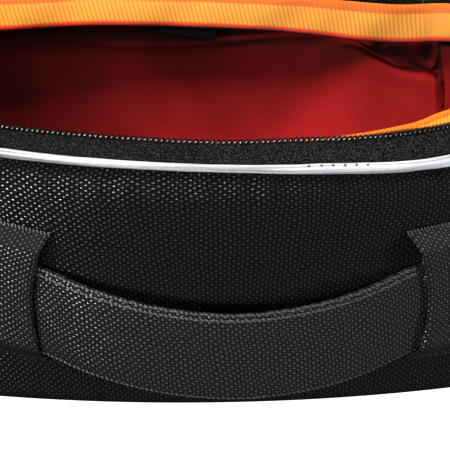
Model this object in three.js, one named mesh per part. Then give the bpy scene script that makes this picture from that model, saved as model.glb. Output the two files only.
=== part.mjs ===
// Motorcycle tank bag standing open: an oval tub of foam-backed nylon with a slack lining, a padded
// grab handle on its front, a zip round three sides and a lid hinged on a cloth strip at the back.
// Millimetres, +Z up, the handle faces -Y and the origin is the middle of the flat base.
import * as THREE from 'three';

// Thicknesses and clearances
const GAP = 0.35;
const WALL = 3;
const BASE = 2.5;
const LINING = 1;
const TAPE = 1;
const BINDING = 2.5;
const HINGE_STRIP = 1.5;
const TAB = 2;

// Round sections
const PIPING_RADIUS = 1.7;
const COIL_RADIUS = 1.1;
const ROUND_SIDES = 8;

// How far inside the rim line each sewn layer starts
const PIPING_INSET = 1.6;
const TAPE_INSET = 3.75;
const LABEL_INSET = 6.72;
const LID_BINDING_INSET = 5.6;

// Plan of the rim: reaches from the centre, the radius of the bowed front and the corner radii
const RIM = { side: 120, front: 119, back: 118, frontRadius: 165, frontCorner: 48, backCorner: 26 };

// Steps along each leg of half a plan outline, front centre to back centre
const STEPS = { front: 5, frontCorner: 5, side: 3, backCorner: 5, back: 3 };

// Outer plan of the tub at shares of the seam height: the foot is flatter and the middle swells
const BODY = [
  { rise: 0, side: 113, front: 109, back: 113, frontRadius: 300, frontCorner: 42, backCorner: 22 },
  { rise: 0.017, side: 115, front: 111.4, back: 115, frontRadius: 300, frontCorner: 44, backCorner: 24 },
  { rise: 0.055, side: 116, front: 112.6, back: 116, frontRadius: 298, frontCorner: 45, backCorner: 25 },
  { rise: 0.45, side: 120, front: 118, back: 119, frontRadius: 225, frontCorner: 47, backCorner: 26 },
  { rise: 0.86, side: 122, front: 121, back: 120, frontRadius: 175, frontCorner: 48, backCorner: 27 },
  { rise: 0.955, side: 121, front: 120, back: 119, frontRadius: 168, frontCorner: 48, backCorner: 26 },
  { rise: 1, side: 118, front: 117, back: 116, frontRadius: 163, frontCorner: 46, backCorner: 24 },
];

// Rim levels round the bag, by u: 0 at the front centre, +1 (right) or -1 (left) at the back centre.
// seam is the top of the tub, coil the middle of the zip's coil: the open right side slumps a little.
const LEVELS = [
  { u: -1, seam: 90.5, coil: 100.2 },
  { u: -0.6, seam: 90.5, coil: 100.8 },
  { u: -0.112, seam: 90.7, coil: 101.6 },
  { u: 0, seam: 89.7, coil: 100.4 },
  { u: 0.07, seam: 88.6, coil: 100.2 },
  { u: 0.117, seam: 87.3, coil: 100 },
  { u: 0.163, seam: 85.8, coil: 100.1 },
  { u: 0.215, seam: 85, coil: 99.6 },
  { u: 0.39, seam: 88, coil: 100.3 },
  { u: 0.6, seam: 90.5, coil: 100.6 },
  { u: 1, seam: 90.5, coil: 100.2 },
];

// Seam binding inside the rim: it stands up along the front zip and hangs down along the hinge
const BAND = [
  { u: -1, low: 86.9, high: 100.3, inset: 7.8 },
  { u: -0.908, low: 88.2, high: 101.5, inset: 7.8 },
  { u: -0.812, low: 86.7, high: 100.2, inset: 7.8 },
  { u: -0.5, low: 85.5, high: 98.5, inset: 7.2 },
  { u: -0.187, low: 84.5, high: 97.5, inset: 6.9 },
  { u: 0, low: 85.5, high: 98.5, inset: 6.9 },
  { u: 0.061, low: 87, high: 100, inset: 6.9 },
  { u: 0.215, low: 90.5, high: 104, inset: 6.9 },
  { u: 0.375, low: 88.5, high: 102, inset: 7.2 },
  { u: 0.57, low: 83, high: 97, inset: 7.6 },
  { u: 0.735, low: 80.4, high: 95.2, inset: 7.8 },
  { u: 0.79, low: 79.3, high: 94.3, inset: 7.8 },
  { u: 0.828, low: 79.9, high: 95, inset: 7.8 },
  { u: 0.9, low: 83.8, high: 98, inset: 7.8 },
  { u: 0.948, low: 85.7, high: 99.2, inset: 7.8 },
  { u: 1, low: 86.9, high: 100.3, inset: 7.8 },
];
const BAND_CHAMFER = 0.8;

// Slack lining: how far its cloth hangs away from the inside of the wall at shares of the seam height
const LINING_SLACK = [
  { rise: 0.996, slack: 0.35 },
  { rise: 0.86, slack: 2.6 },
  { rise: 0.66, slack: 5 },
  { rise: 0.45, slack: 10 },
  { rise: 0.27, slack: 16.5 },
  { rise: 0.14, slack: 23 },
  { rise: 0.065, slack: 28.5 },
  { rise: 0.037, slack: 31.5 },
];

const LINING_LEAST_CORNER = 12;

// Folds that push the lining inwards: place, depth and half spans
const LINING_FOLDS = [
  { u: 0.8, rise: 0.62, depth: 9, spanU: 0.07, spanRise: 0.15 },
  { u: 0.6, rise: 0.55, depth: 7, spanU: 0.06, spanRise: 0.2 },
  { u: -0.72, rise: 0.45, depth: 8, spanU: 0.06, spanRise: 0.2 },
  { u: -0.3, rise: 0.4, depth: 6, spanU: 0.07, spanRise: 0.2 },
];

// Lid, measured shut: rise above its own seam and distance inside the rim. The gusset stands round
// the edge, the top panel turns over its seam, and the crown goes on by shares of the panel's size.
const LID_SEAM = 112.4;
const LID_GUSSET_HEIGHT = 17;
const LID_GUSSET = [
  { rise: 0, inset: 2 },
  { rise: 5, inset: 0.2 },
  { rise: 12, inset: 0.6 },
  { rise: LID_GUSSET_HEIGHT, inset: 2.6 },
];
const LID_TOP = [
  { rise: LID_GUSSET_HEIGHT + GAP, inset: 2.8 },
  { rise: 20.8, inset: 7.5 },
  { rise: 22.8, inset: 16 },
];
const LID_CROWN = [
  { rise: 25.6, share: 0.62 },
  { rise: 27.2, share: 0.3 },
];
const LID_COIL = 104.6;
const LID_BAND = { low: 102.5, high: 112 };

// The lid stands open on the cloth hinge, whose bend lies at the level of the zip
const LID_OPEN = THREE.MathUtils.degToRad(95);
const HINGE = { y: RIM.back - TAPE_INSET - HINGE_STRIP / 2, z: 102, bendRadius: 6, bendSteps: 3 };
const HINGE_END_GAP = 0.6;

// Grab handle: middle line of the strap along the front wall, and its padded section
const STRAP_WIDTH = 32;
const STRAP_THICKNESS = 5;
const STRAP_CHAMFER = 1.6;
const STRAP_STEPS = 28;
const STRAP = [
  { along: -90, height: 40.4, standoff: 2.85 },
  { along: -80, height: 39.8, standoff: 2.85 },
  { along: -66, height: 37.8, standoff: 3.6 },
  { along: -45, height: 32.7, standoff: 11 },
  { along: -22, height: 28, standoff: 15.2 },
  { along: 3, height: 25.8, standoff: 16.5 },
  { along: 25, height: 27.2, standoff: 15 },
  { along: 45, height: 30.3, standoff: 11 },
  { along: 69, height: 35.8, standoff: 3.6 },
  { along: 82, height: 37.8, standoff: 2.85 },
  { along: 93, height: 38.6, standoff: 2.85 },
];

// Tabs that hold the strap ends: inner edge along the wall, heights there and rise per mm outwards
const TABS = [
  { name: 'handle_tab_left', side: -1, inner: 63.5, low: 17, high: 66, rise: 0.14 },
  { name: 'handle_tab_right', side: 1, inner: 67.5, low: 15, high: 64, rise: 0.07 },
];
// Lift of the tab off the wall over the strap, by distance from its inner edge
const TAB_LIFT = [
  { from: 0, lift: 8.2 },
  { from: 5, lift: 7.2 },
  { from: 12, lift: 6.6 },
  { from: 20, lift: 6.2 },
  { from: 30, lift: 6.2 },
  { from: 36, lift: GAP },
];
// Share of that lift across the tab's height, which is counted from -1 to 1
const TAB_ACROSS = [
  { across: -1, share: 0 },
  { across: -0.78, share: 1 },
  { across: -0.4, share: 1 },
  { across: 0, share: 1 },
  { across: 0.4, share: 1 },
  { across: 0.78, share: 1 },
  { across: 1, share: 0 },
];

// Small pieces
const LABEL = { x: -7, z: 88.5, width: 32, height: 13, thickness: 0.7 };
const LABEL_TILT = THREE.MathUtils.degToRad(8.7);
const SLIDER = { length: 9, height: 5, shoulder: 1.25, thickness: 2.4, z: 97.6, inset: 0.9 };
const TONGUE = { length: 14, height: 3.4, arcSteps: 4 };

// Numbers

const lerp = THREE.MathUtils.lerp;

// Smooth value of every other column of a table at one value of its key column
function readTable(rows, key, at) {
  const last = rows.length - 1;
  const place = rows.findIndex((row) => row[key] > at);
  const upper = place === -1 ? last : Math.max(place, 1);
  const [a, b] = [rows[upper - 1], rows[upper]];
  const before = rows[Math.max(upper - 2, 0)];
  const after = rows[Math.min(upper + 1, last)];
  const width = b[key] - a[key];
  const t = THREE.MathUtils.clamp((at - a[key]) / width, 0, 1);
  const result = {};
  for (const column of Object.keys(a)) {
    const slopeA = ((b[column] - before[column]) / (b[key] - before[key])) * width;
    const slopeB = ((after[column] - a[column]) / (after[key] - a[key])) * width;
    const rest = (1 - t) * ((1 - t) * t * slopeA) - t * t * (1 - t) * slopeB;
    result[column] = a[column] + (b[column] - a[column]) * t * t * (3 - 2 * t) + rest;
  }
  return result;
}

// Plan outlines

function onArc(centreX, centreY, radius, turn) {
  const nx = Math.sin(turn);
  const ny = -Math.cos(turn);
  return { x: centreX + radius * nx, y: centreY + radius * ny, nx, ny };
}

// Centres and sweep of the two front arcs of a plan
function frontArcs(plan) {
  const centreY = plan.frontRadius - plan.front;
  const cornerX = plan.side - plan.frontCorner;
  const drop = Math.sqrt((plan.frontRadius - plan.frontCorner) ** 2 - cornerX ** 2);
  return { centreY, cornerX, cornerY: centreY - drop, sweep: Math.atan2(cornerX, drop) };
}

// Right half of a plan outline, front centre to back centre, with outward normals
function planHalf(plan) {
  const { centreY, cornerX, cornerY, sweep } = frontArcs(plan);
  const backX = plan.side - plan.backCorner;
  const backY = plan.back - plan.backCorner;
  const quarter = Math.PI / 2;
  const legs = [
    { steps: STEPS.front, at: (t) => onArc(0, centreY, plan.frontRadius, sweep * t) },
    {
      steps: STEPS.frontCorner,
      at: (t) => onArc(cornerX, cornerY, plan.frontCorner, lerp(sweep, quarter, t)),
    },
    { steps: STEPS.side, at: (t) => ({ x: plan.side, y: lerp(cornerY, backY, t), nx: 1, ny: 0 }) },
    { steps: STEPS.backCorner, at: (t) => onArc(backX, backY, plan.backCorner, quarter * (1 + t)) },
    { steps: STEPS.back, at: (t) => ({ x: backX * (1 - t), y: plan.back, nx: 0, ny: 1 }) },
  ];
  const half = legs.flatMap(({ steps, at }) => Array.from({ length: steps }, (_, i) => at(i / steps)));
  return [...half, { x: 0, y: plan.back, nx: 0, ny: 1 }];
}

// Share of the half outline passed at each station of the rim
function rimShares() {
  const half = planHalf(RIM);
  const passed = [0];
  for (let i = 1; i < half.length; i += 1) {
    passed.push(passed[i - 1] + Math.hypot(half[i].x - half[i - 1].x, half[i].y - half[i - 1].y));
  }
  const length = passed[passed.length - 1];
  return { length, shares: passed.map((value) => value / length) };
}

const { length: HALF_RIM, shares: SHARES } = rimShares();

// Whole plan outline: right side to the back centre, then the left side back to the front
function planRing(plan) {
  const right = planHalf(plan).map((station, i) => ({ ...station, u: SHARES[i] }));
  const left = right.slice(1, -1).reverse().map(({ x, y, nx, ny, u }) => (
    { x: -x, y, nx: -nx, ny, u: -u }
  ));
  return [...right, ...left];
}

const RIM_RING = planRing(RIM);
const ZIP_REACH = STEPS.front + STEPS.frontCorner + STEPS.side + STEPS.backCorner;
// Stations of the zip, from its left end at the back round the front to its right end
const ZIP_RUN = Array.from({ length: 2 * ZIP_REACH + 1 }, (_, i) => RIM_RING.at(i - ZIP_REACH));

const levelsAt = (station) => readTable(LEVELS, 'u', station.u);

function inside(station, inset, z) {
  return new THREE.Vector3(station.x - inset * station.nx, station.y - inset * station.ny, z);
}

// Point on the front of the tub, by arc length from the front centre, height and distance off the wall
function wallPoint(along, height, off) {
  const { seam } = readTable(LEVELS, 'u', along / HALF_RIM);
  const plan = readTable(BODY, 'rise', height / seam);
  const { centreY, cornerX, cornerY, sweep } = frontArcs(plan);
  const reach = Math.abs(along);
  const frontLength = plan.frontRadius * sweep;
  const station = reach < frontLength
    ? onArc(0, centreY, plan.frontRadius, reach / plan.frontRadius)
    : onArc(cornerX, cornerY, plan.frontCorner, sweep + (reach - frontLength) / plan.frontCorner);
  const point = inside(station, -off, height);
  point.x *= Math.sign(along) || 1;
  return point;
}

// Solids

// Closed solid through rings of equal length. The ends are joined to each other, or closed by a fan
// round the ring's middle, or by a strip between the ring's two facing halves.
function loft(rings, ends) {
  const count = rings[0].length;
  const points = rings.flat();
  const faces = [];
  const quad = (a, b, c, d) => faces.push(a, b, c, a, c, d);
  const spans = ends === 'join' ? rings.length : rings.length - 1;
  for (let r = 0; r < spans; r += 1) {
    const here = r * count;
    const next = ((r + 1) % rings.length) * count;
    for (let c = 0; c < count; c += 1) {
      const d = (c + 1) % count;
      quad(here + c, here + d, next + d, next + c);
    }
  }
  const lastRing = (rings.length - 1) * count;
  if (ends === 'fan') {
    for (const [start, turned] of [[0, true], [lastRing, false]]) {
      const middle = points.length;
      const ring = points.slice(start, start + count);
      points.push(ring.reduce((sum, p) => sum.add(p), new THREE.Vector3()).divideScalar(count));
      for (let c = 0; c < count; c += 1) {
        const d = (c + 1) % count;
        faces.push(middle, start + (turned ? d : c), start + (turned ? c : d));
      }
    }
  }
  if (ends === 'strip') {
    for (let c = 0; c < count / 2 - 1; c += 1) {
      const facing = count - 1 - c;
      quad(c + 1, c, facing, facing - 1);
      quad(lastRing + c, lastRing + c + 1, lastRing + facing - 1, lastRing + facing);
    }
  }
  return outwardGeometry(points, faces);
}

// Geometry whose faces point out, whichever way round the rings were given
function outwardGeometry(points, faces) {
  let volume = 0;
  for (let i = 0; i < faces.length; i += 3) {
    const [a, b, c] = [points[faces[i]], points[faces[i + 1]], points[faces[i + 2]]];
    volume += a.dot(new THREE.Vector3().crossVectors(b, c));
  }
  const geometry = new THREE.BufferGeometry().setFromPoints(points);
  geometry.setIndex(volume < 0 ? faces.toReversed() : faces);
  geometry.computeVertexNormals();
  return geometry;
}

// Sweep of a section, given as [inset, z] corners, along stations of the rim
function sewnRun(stations, section, ends) {
  const rings = stations.map((station) => section(station).map(([inset, z]) => inside(station, inset, z)));
  return loft(rings, ends);
}

function roundSection(inset, z, radius) {
  return Array.from({ length: ROUND_SIDES }, (_, i) => {
    const turn = ((i + 0.5) / ROUND_SIDES) * 2 * Math.PI;
    return [inset + radius * Math.cos(turn), z + radius * Math.sin(turn)];
  });
}

function barSection(inset, thickness, low, high) {
  return [[inset, low], [inset, high], [inset + thickness, high], [inset + thickness, low]];
}

// Folded tape: a flat bar whose two long edges are rounded over
function bandSection(inset, low, high) {
  const middle = inset + BINDING / 2;
  const outer = inset + BINDING;
  return [
    [inset, low + BAND_CHAMFER], [inset, high - BAND_CHAMFER], [middle, high],
    [outer, high - BAND_CHAMFER], [outer, low + BAND_CHAMFER], [middle, low],
  ];
}

// Offset of an open section line by a thickness, along its own normal
function offsetLine(line, thickness) {
  return line.map(([x, z], i) => {
    const [x0, z0] = line[Math.max(i - 1, 0)];
    const [x1, z1] = line[Math.min(i + 1, line.length - 1)];
    const length = Math.hypot(x1 - x0, z1 - z0);
    return [x - (thickness * (z1 - z0)) / length, z + (thickness * (x1 - x0)) / length];
  });
}

// Tub

function wallPanel() {
  const outlines = BODY.map((plan) => ({ rise: plan.rise, ring: planRing(plan) }));
  const rings = RIM_RING.map((station, i) => {
    const { seam } = levelsAt(station);
    const face = (inset) => outlines.map(({ rise, ring }) => inside(ring[i], inset, rise * seam));
    return [...face(0), ...face(WALL).reverse()];
  });
  return loft(rings, 'join');
}

function basePanel() {
  const ring = planRing(BODY[0]);
  return loft([0, BASE].map((z) => ring.map((station) => inside(station, WALL + GAP, z))), 'fan');
}

// The same plan a distance further in, with corners that stay round
function hangingPlan(plan, inset) {
  return {
    side: plan.side - inset,
    front: plan.front - inset,
    back: plan.back - inset,
    frontRadius: plan.frontRadius - inset,
    frontCorner: Math.max(plan.frontCorner - inset, LINING_LEAST_CORNER),
    backCorner: Math.max(plan.backCorner - inset, LINING_LEAST_CORNER),
  };
}

function foldPush(u, rise) {
  return LINING_FOLDS.reduce((push, fold) => {
    const reach = ((u - fold.u) / fold.spanU) ** 2 + ((rise - fold.rise) / fold.spanRise) ** 2;
    return push + fold.depth * Math.exp(-reach);
  }, 0);
}

function lining() {
  const outlines = LINING_SLACK.map(({ rise, slack }) => {
    const plan = hangingPlan(readTable(BODY, 'rise', rise), WALL + slack);
    return { rise, reach: RIM.side - plan.side, ring: planRing(plan) };
  });
  const columns = RIM_RING.map((station, i) => {
    const { seam } = levelsAt(station);
    // Section line as distance from the side plane and height, so that the cloth keeps its thickness
    const outer = outlines.map(({ rise, reach }) => [reach + foldPush(station.u, rise), rise * seam]);
    const inner = offsetLine(outer, LINING);
    inner[0] = [outer[0][0] + LINING, outer[0][1]];
    const place = ([across, z], k) => inside(outlines[k].ring[i], across - outlines[k].reach, z);
    return { outer: outer.map(place), inner: inner.map(place) };
  });
  const layer = (face, k) => columns.map((column) => column[face][k]);
  const levels = outlines.map((_, k) => k);
  const rings = [
    ...levels.toReversed().map((k) => layer('outer', k)),
    ...levels.map((k) => layer('inner', k)),
  ];
  return loft(rings, 'fan');
}

function piping() {
  const lift = GAP + PIPING_RADIUS;
  return sewnRun(RIM_RING, (at) => (
    roundSection(PIPING_INSET, levelsAt(at).seam + lift, PIPING_RADIUS)
  ), 'join');
}

function bodyTape() {
  return sewnRun(ZIP_RUN, (at) => {
    const { seam, coil } = levelsAt(at);
    return barSection(TAPE_INSET, TAPE, seam + GAP, coil - COIL_RADIUS - GAP);
  }, 'strip');
}

function bodyCoil() {
  return sewnRun(ZIP_RUN, (at) => (
    roundSection(TAPE_INSET + TAPE / 2, levelsAt(at).coil, COIL_RADIUS)
  ), 'strip');
}

function seamBinding() {
  return sewnRun(RIM_RING, (at) => {
    const { low, high, inset } = readTable(BAND, 'u', at.u);
    return bandSection(inset, low, high);
  }, 'join');
}

function label() {
  return new THREE.BoxGeometry(LABEL.width, LABEL.thickness, LABEL.height);
}

// Hinge strip: upright from the tub's seam, bent back with the lid and flat up to the lid's seam
function hingeStrip() {
  const straight = HINGE.bendRadius * Math.tan(LID_OPEN / 2);
  const bendZ = HINGE.z - straight;
  const middle = [[HINGE.y, levelsAt({ u: 1 }).seam + GAP]];
  for (let i = 0; i <= HINGE.bendSteps; i += 1) {
    const turn = (LID_OPEN * i) / HINGE.bendSteps;
    middle.push([
      HINGE.y + HINGE.bendRadius * (1 - Math.cos(turn)),
      bendZ + HINGE.bendRadius * Math.sin(turn),
    ]);
  }
  const lidPart = LID_SEAM - GAP - HINGE.z;
  middle.push([HINGE.y + lidPart * Math.sin(LID_OPEN), HINGE.z + lidPart * Math.cos(LID_OPEN)]);
  const outline = [
    ...offsetLine(middle, HINGE_STRIP / 2),
    ...offsetLine(middle, -HINGE_STRIP / 2).reverse(),
  ];
  const reach = RIM.side - RIM.backCorner - HINGE_END_GAP;
  return loft([-reach, reach].map((x) => outline.map(([y, z]) => new THREE.Vector3(x, y, z))), 'strip');
}

// Lid, built shut and turned with its group

// Outer and inner face of a lid wall, the inner one level with the outer at its first edge
function lidFaces(rows) {
  const outer = rows.map(({ rise, inset }) => [inset, LID_SEAM + rise]);
  const inner = offsetLine(outer, -WALL);
  inner[0] = [outer[0][0] + WALL, outer[0][1]];
  return { outer, inner };
}

function lidGusset() {
  const { outer, inner } = lidFaces(LID_GUSSET);
  inner[inner.length - 1] = [outer.at(-1)[0] + WALL, outer.at(-1)[1]];
  return sewnRun(RIM_RING, () => [...outer, ...inner.toReversed()], 'join');
}

function lidTop() {
  const { outer, inner } = lidFaces(LID_TOP);
  const ring = ([inset, z]) => RIM_RING.map((station) => inside(station, inset, z));
  const crown = ([inset], drop) => LID_CROWN.map(({ rise, share }) => RIM_RING.map((station) => {
    const point = inside(station, inset, LID_SEAM + rise - drop);
    return new THREE.Vector3(point.x * share, point.y * share, point.z);
  }));
  const rings = [
    ...crown(outer.at(-1), 0).reverse(),
    ...outer.toReversed().map(ring),
    ...inner.map(ring),
    ...crown(inner.at(-1), WALL),
  ];
  return loft(rings, 'fan');
}

function lidTape() {
  const section = barSection(TAPE_INSET, TAPE, LID_COIL + COIL_RADIUS + GAP, LID_SEAM - GAP);
  return sewnRun(ZIP_RUN, () => section, 'strip');
}

function lidCoil() {
  return sewnRun(ZIP_RUN, () => roundSection(TAPE_INSET + TAPE / 2, LID_COIL, COIL_RADIUS), 'strip');
}

function lidBinding() {
  return sewnRun(RIM_RING, () => bandSection(LID_BINDING_INSET, LID_BAND.low, LID_BAND.high), 'join');
}

// Handle

function handleStrap() {
  const line = (lift) => new THREE.CatmullRomCurve3(STRAP.map(({ along, height, standoff }) => (
    wallPoint(along, height + lift, standoff)
  )), false, 'centripetal');
  const [w, t, c] = [STRAP_WIDTH / 2, STRAP_THICKNESS / 2, STRAP_CHAMFER];
  const [lower, middle, upper] = [-w, 0, w].map(line);
  const section = [
    [-w, t - c], [c - w, t], [w - c, t], [w, t - c],
    [w, c - t], [w - c, -t], [c - w, -t], [-w, c - t],
  ];
  const rings = Array.from({ length: STRAP_STEPS + 1 }, (_, i) => {
    const share = i / STRAP_STEPS;
    const forward = middle.getTangent(share);
    // The strap leans as the wall behind it does
    const lean = upper.getPoint(share).sub(lower.getPoint(share));
    const out = new THREE.Vector3().crossVectors(forward, lean).normalize();
    const across = new THREE.Vector3().crossVectors(out, forward);
    return section.map(([wide, thick]) => (
      middle.getPoint(share).addScaledVector(across, wide).addScaledVector(out, thick)
    ));
  });
  return loft(rings, 'strip');
}

function handleTab({ side, inner, low, high, rise }) {
  const rings = TAB_LIFT.map(({ from, lift }) => {
    const face = (extra) => TAB_ACROSS.map(({ across, share }) => {
      const height = lerp(low, high, (across + 1) / 2) + rise * from;
      return wallPoint(side * (inner + from), height, lerp(GAP, lift, share) + extra);
    });
    return [...face(0), ...face(TAB).reverse()];
  });
  return loft(rings, 'strip');
}

// Slider: a body with a flat pull, parked at the zip's left end
function slider() {
  const [half, tongueHalf] = [SLIDER.height / 2, TONGUE.height / 2];
  const tongueEnd = tongueHalf - TONGUE.length;
  const shape = new THREE.Shape();
  shape.moveTo(0, -half);
  shape.lineTo(SLIDER.length, -half);
  shape.lineTo(SLIDER.length, half);
  shape.lineTo(0, half);
  shape.lineTo(-SLIDER.shoulder, tongueHalf);
  shape.lineTo(tongueEnd, tongueHalf);
  shape.absarc(tongueEnd, 0, tongueHalf, Math.PI / 2, (3 * Math.PI) / 2, false);
  shape.lineTo(-SLIDER.shoulder, -tongueHalf);
  shape.closePath();
  return new THREE.ExtrudeGeometry(shape, {
    depth: SLIDER.thickness, bevelEnabled: false, curveSegments: TONGUE.arcSteps,
  });
}

// Assembly

const finish = (color, roughness, metalness = 0) => ({ color, roughness, metalness });
const NYLON = finish(0x1b1b1a, 0.8);
const WEBBING = finish(0x171717, 0.85);
const TAPE_CLOTH = finish(0x242422, 0.9);
const COIL_PLASTIC = finish(0x0d0d0d, 0.3);
const REFLECTIVE = finish(0xdcdcda, 0.4);
const ORANGE_TAPE = finish(0xf7a03c, 0.8);
const RED_LINING = finish(0xaf2024, 0.75);
const LABEL_CLOTH = finish(0x141212, 0.85);
const BLACK_METAL = finish(0x202020, 0.4, 0.6);

function piece(name, geometry, look) {
  const mesh = new THREE.Mesh(geometry, new THREE.MeshStandardMaterial(look));
  mesh.name = name;
  return mesh;
}

function tubGroup() {
  const group = new THREE.Group();
  const tag = piece('inner_label', label(), LABEL_CLOTH);
  tag.position.set(LABEL.x, RIM.back - LABEL_INSET - LABEL.thickness / 2, LABEL.z);
  tag.rotation.y = LABEL_TILT;
  group.add(
    piece('wall_panel', wallPanel(), NYLON),
    piece('base_panel', basePanel(), NYLON),
    piece('lining', lining(), RED_LINING),
    piece('reflective_piping', piping(), REFLECTIVE),
    piece('zip_tape_body', bodyTape(), TAPE_CLOTH),
    piece('zip_coil_body', bodyCoil(), COIL_PLASTIC),
    piece('seam_binding', seamBinding(), ORANGE_TAPE),
    piece('hinge_strip', hingeStrip(), TAPE_CLOTH),
    tag,
  );
  return group;
}

function lidGroup() {
  const group = new THREE.Group();
  const pieces = [
    piece('lid_gusset', lidGusset(), NYLON),
    piece('lid_top', lidTop(), NYLON),
    piece('zip_tape_lid', lidTape(), TAPE_CLOTH),
    piece('zip_coil_lid', lidCoil(), COIL_PLASTIC),
    piece('lid_binding', lidBinding(), ORANGE_TAPE),
  ];
  for (const mesh of pieces) {
    mesh.position.set(0, -HINGE.y, -HINGE.z);
    group.add(mesh);
  }
  group.position.set(0, HINGE.y, HINGE.z);
  group.rotation.x = -LID_OPEN;
  return group;
}

function handleGroup() {
  const group = new THREE.Group();
  group.add(piece('handle_strap', handleStrap(), WEBBING));
  for (const tab of TABS) group.add(piece(tab.name, handleTab(tab), WEBBING));
  return group;
}

function sliderPiece() {
  const mesh = piece('zip_slider', slider(), BLACK_METAL);
  const end = ZIP_RUN[1];
  const base = inside(end, SLIDER.inset + SLIDER.thickness, SLIDER.z);
  mesh.position.copy(base);
  // The slider's face looks outwards and its pull points along the zip
  const outward = new THREE.Vector3(end.nx, end.ny, 0);
  const up = new THREE.Vector3(0, 0, 1);
  const along = new THREE.Vector3().crossVectors(up, outward);
  mesh.quaternion.setFromRotationMatrix(new THREE.Matrix4().makeBasis(along, up, outward));
  return mesh;
}

const bag = new THREE.Group();
bag.add(tubGroup(), handleGroup(), lidGroup(), sliderPiece());

export default bag;
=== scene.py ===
"""Motorcycle tank bag standing open, dressed for one studio picture.

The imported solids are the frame. The cloth, webbing, zip and binding are modelled again here with their
folds, ribs, teeth and stitches, and each new piece replaces its plain solid.
Tables and points are in millimetres, Blender's meshes are in metres.
"""
import logging
import math
from collections.abc import Mapping, Sequence
from dataclasses import dataclass
from enum import Enum
from functools import cache
from typing import NamedTuple

import bpy
import numpy as np
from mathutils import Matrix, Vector


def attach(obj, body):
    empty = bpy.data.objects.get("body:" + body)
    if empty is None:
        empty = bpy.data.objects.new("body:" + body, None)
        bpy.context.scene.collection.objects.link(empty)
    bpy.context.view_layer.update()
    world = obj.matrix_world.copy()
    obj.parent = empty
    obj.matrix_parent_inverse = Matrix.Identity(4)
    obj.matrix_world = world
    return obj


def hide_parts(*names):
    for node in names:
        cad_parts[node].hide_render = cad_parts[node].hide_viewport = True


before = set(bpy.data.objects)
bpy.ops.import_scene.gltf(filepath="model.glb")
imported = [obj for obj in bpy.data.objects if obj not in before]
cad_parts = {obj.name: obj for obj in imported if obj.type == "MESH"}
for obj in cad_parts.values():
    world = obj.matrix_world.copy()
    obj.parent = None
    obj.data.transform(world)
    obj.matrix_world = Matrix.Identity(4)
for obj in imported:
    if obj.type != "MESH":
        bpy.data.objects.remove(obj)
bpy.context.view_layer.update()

LOG = logging.getLogger("tank_bag")

Array = np.ndarray
Pair = tuple[float, float]
Triple = tuple[float, float, float]
MM = 0.001
UPRIGHT = np.array([0, 0, 1.0])
# Faces whose directions differ by more than this keep a crisp edge
SHARP_EDGE = math.radians(55)
BODY_NAME = "root"
CLOTH_MAP = "cloth"


class Slot(Enum):
    """Material slots of the record that the new pieces belong to."""

    NYLON = "ballistic_nylon"
    WEBBING = "handle_webbing"
    REFLECTIVE = "reflective_tape"
    ZIP_TAPE = "zip_tape"
    COIL = "zip_coil"
    GROSGRAIN = "grosgrain_binding"
    LINING = "red_lining"
    LABEL = "label_cloth"


class Side(Enum):
    """Side of the bag, as the sign of X."""

    LEFT = -1
    RIGHT = 1


# Thicknesses and clearances of the sewn layers
GAP = 0.35
WALL = 3.0
BASE = 2.5
LINING = 1.0
TAPE = 1.0
BINDING = 2.5
HINGE_STRIP = 1.5

# How far inside the rim line the layers start
PIPING_INSET = 1.6
TAPE_INSET = 3.75
LABEL_INSET = 6.72
LID_BINDING_INSET = 5.6

COIL_RADIUS = 1.1
TOOTH_PITCH = 2.05
TOOTH_HALF_LENGTH = 0.93
TOOTH_LEAN = 0.12
TOOTH_SQUARENESS = 0.85

# Crosswise ribs of the grosgrain round the whole rim
RIBS = 473
RIB_HEIGHT = 0.13
RIB_SQUARENESS = 0.7


class Plan(NamedTuple):
    """Plan outline: reaches from the centre, radius of the bowed front and corner radii."""

    side: Array | float
    front: Array | float
    back: Array | float
    front_radius: Array | float
    front_corner: Array | float
    back_corner: Array | float


class BodyRow(NamedTuple):
    """Outer plan of the tub at one share of the seam height."""

    rise: float
    side: float
    front: float
    back: float
    front_radius: float
    front_corner: float
    back_corner: float


class Level(NamedTuple):
    """Heights at one place of the rim: top of the tub and middle of the zip's coil."""

    u: float
    seam: float
    coil: float


class BandRow(NamedTuple):
    """Lower and upper edge of the seam binding, and its distance inside the rim line."""

    u: float
    low: float
    high: float
    inset: float


class KeyValue(NamedTuple):
    """One row of a table with a single value."""

    key: float
    value: float


RIM = Plan(side=120, front=119, back=118, front_radius=165, front_corner=48, back_corner=26)

BODY = (
    BodyRow(0.0, 113.0, 109.0, 113.0, 300, 42, 22),
    BodyRow(0.017, 115.0, 111.4, 115.0, 300, 44, 24),
    BodyRow(0.055, 116.0, 112.6, 116.0, 298, 45, 25),
    BodyRow(0.45, 120.0, 118.0, 119.0, 225, 47, 26),
    BodyRow(0.86, 122.0, 121.0, 120.0, 175, 48, 27),
    BodyRow(0.955, 121.0, 120.0, 119.0, 168, 48, 26),
    BodyRow(1.0, 118.0, 117.0, 116.0, 163, 46, 24),
)

# u runs from 0 at the front centre to +1 (right) or -1 (left) at the back centre
LEVELS = (
    Level(-1.0, 90.5, 100.2),
    Level(-0.6, 90.5, 100.8),
    Level(-0.112, 90.7, 101.6),
    Level(0.0, 89.7, 100.4),
    Level(0.07, 87.9, 100.2),
    Level(0.117, 86.3, 99.2),
    Level(0.163, 84.8, 98.5),
    Level(0.215, 84.2, 98.5),
    Level(0.39, 88.0, 100.3),
    Level(0.6, 90.5, 100.6),
    Level(1.0, 90.5, 100.2),
)

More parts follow.
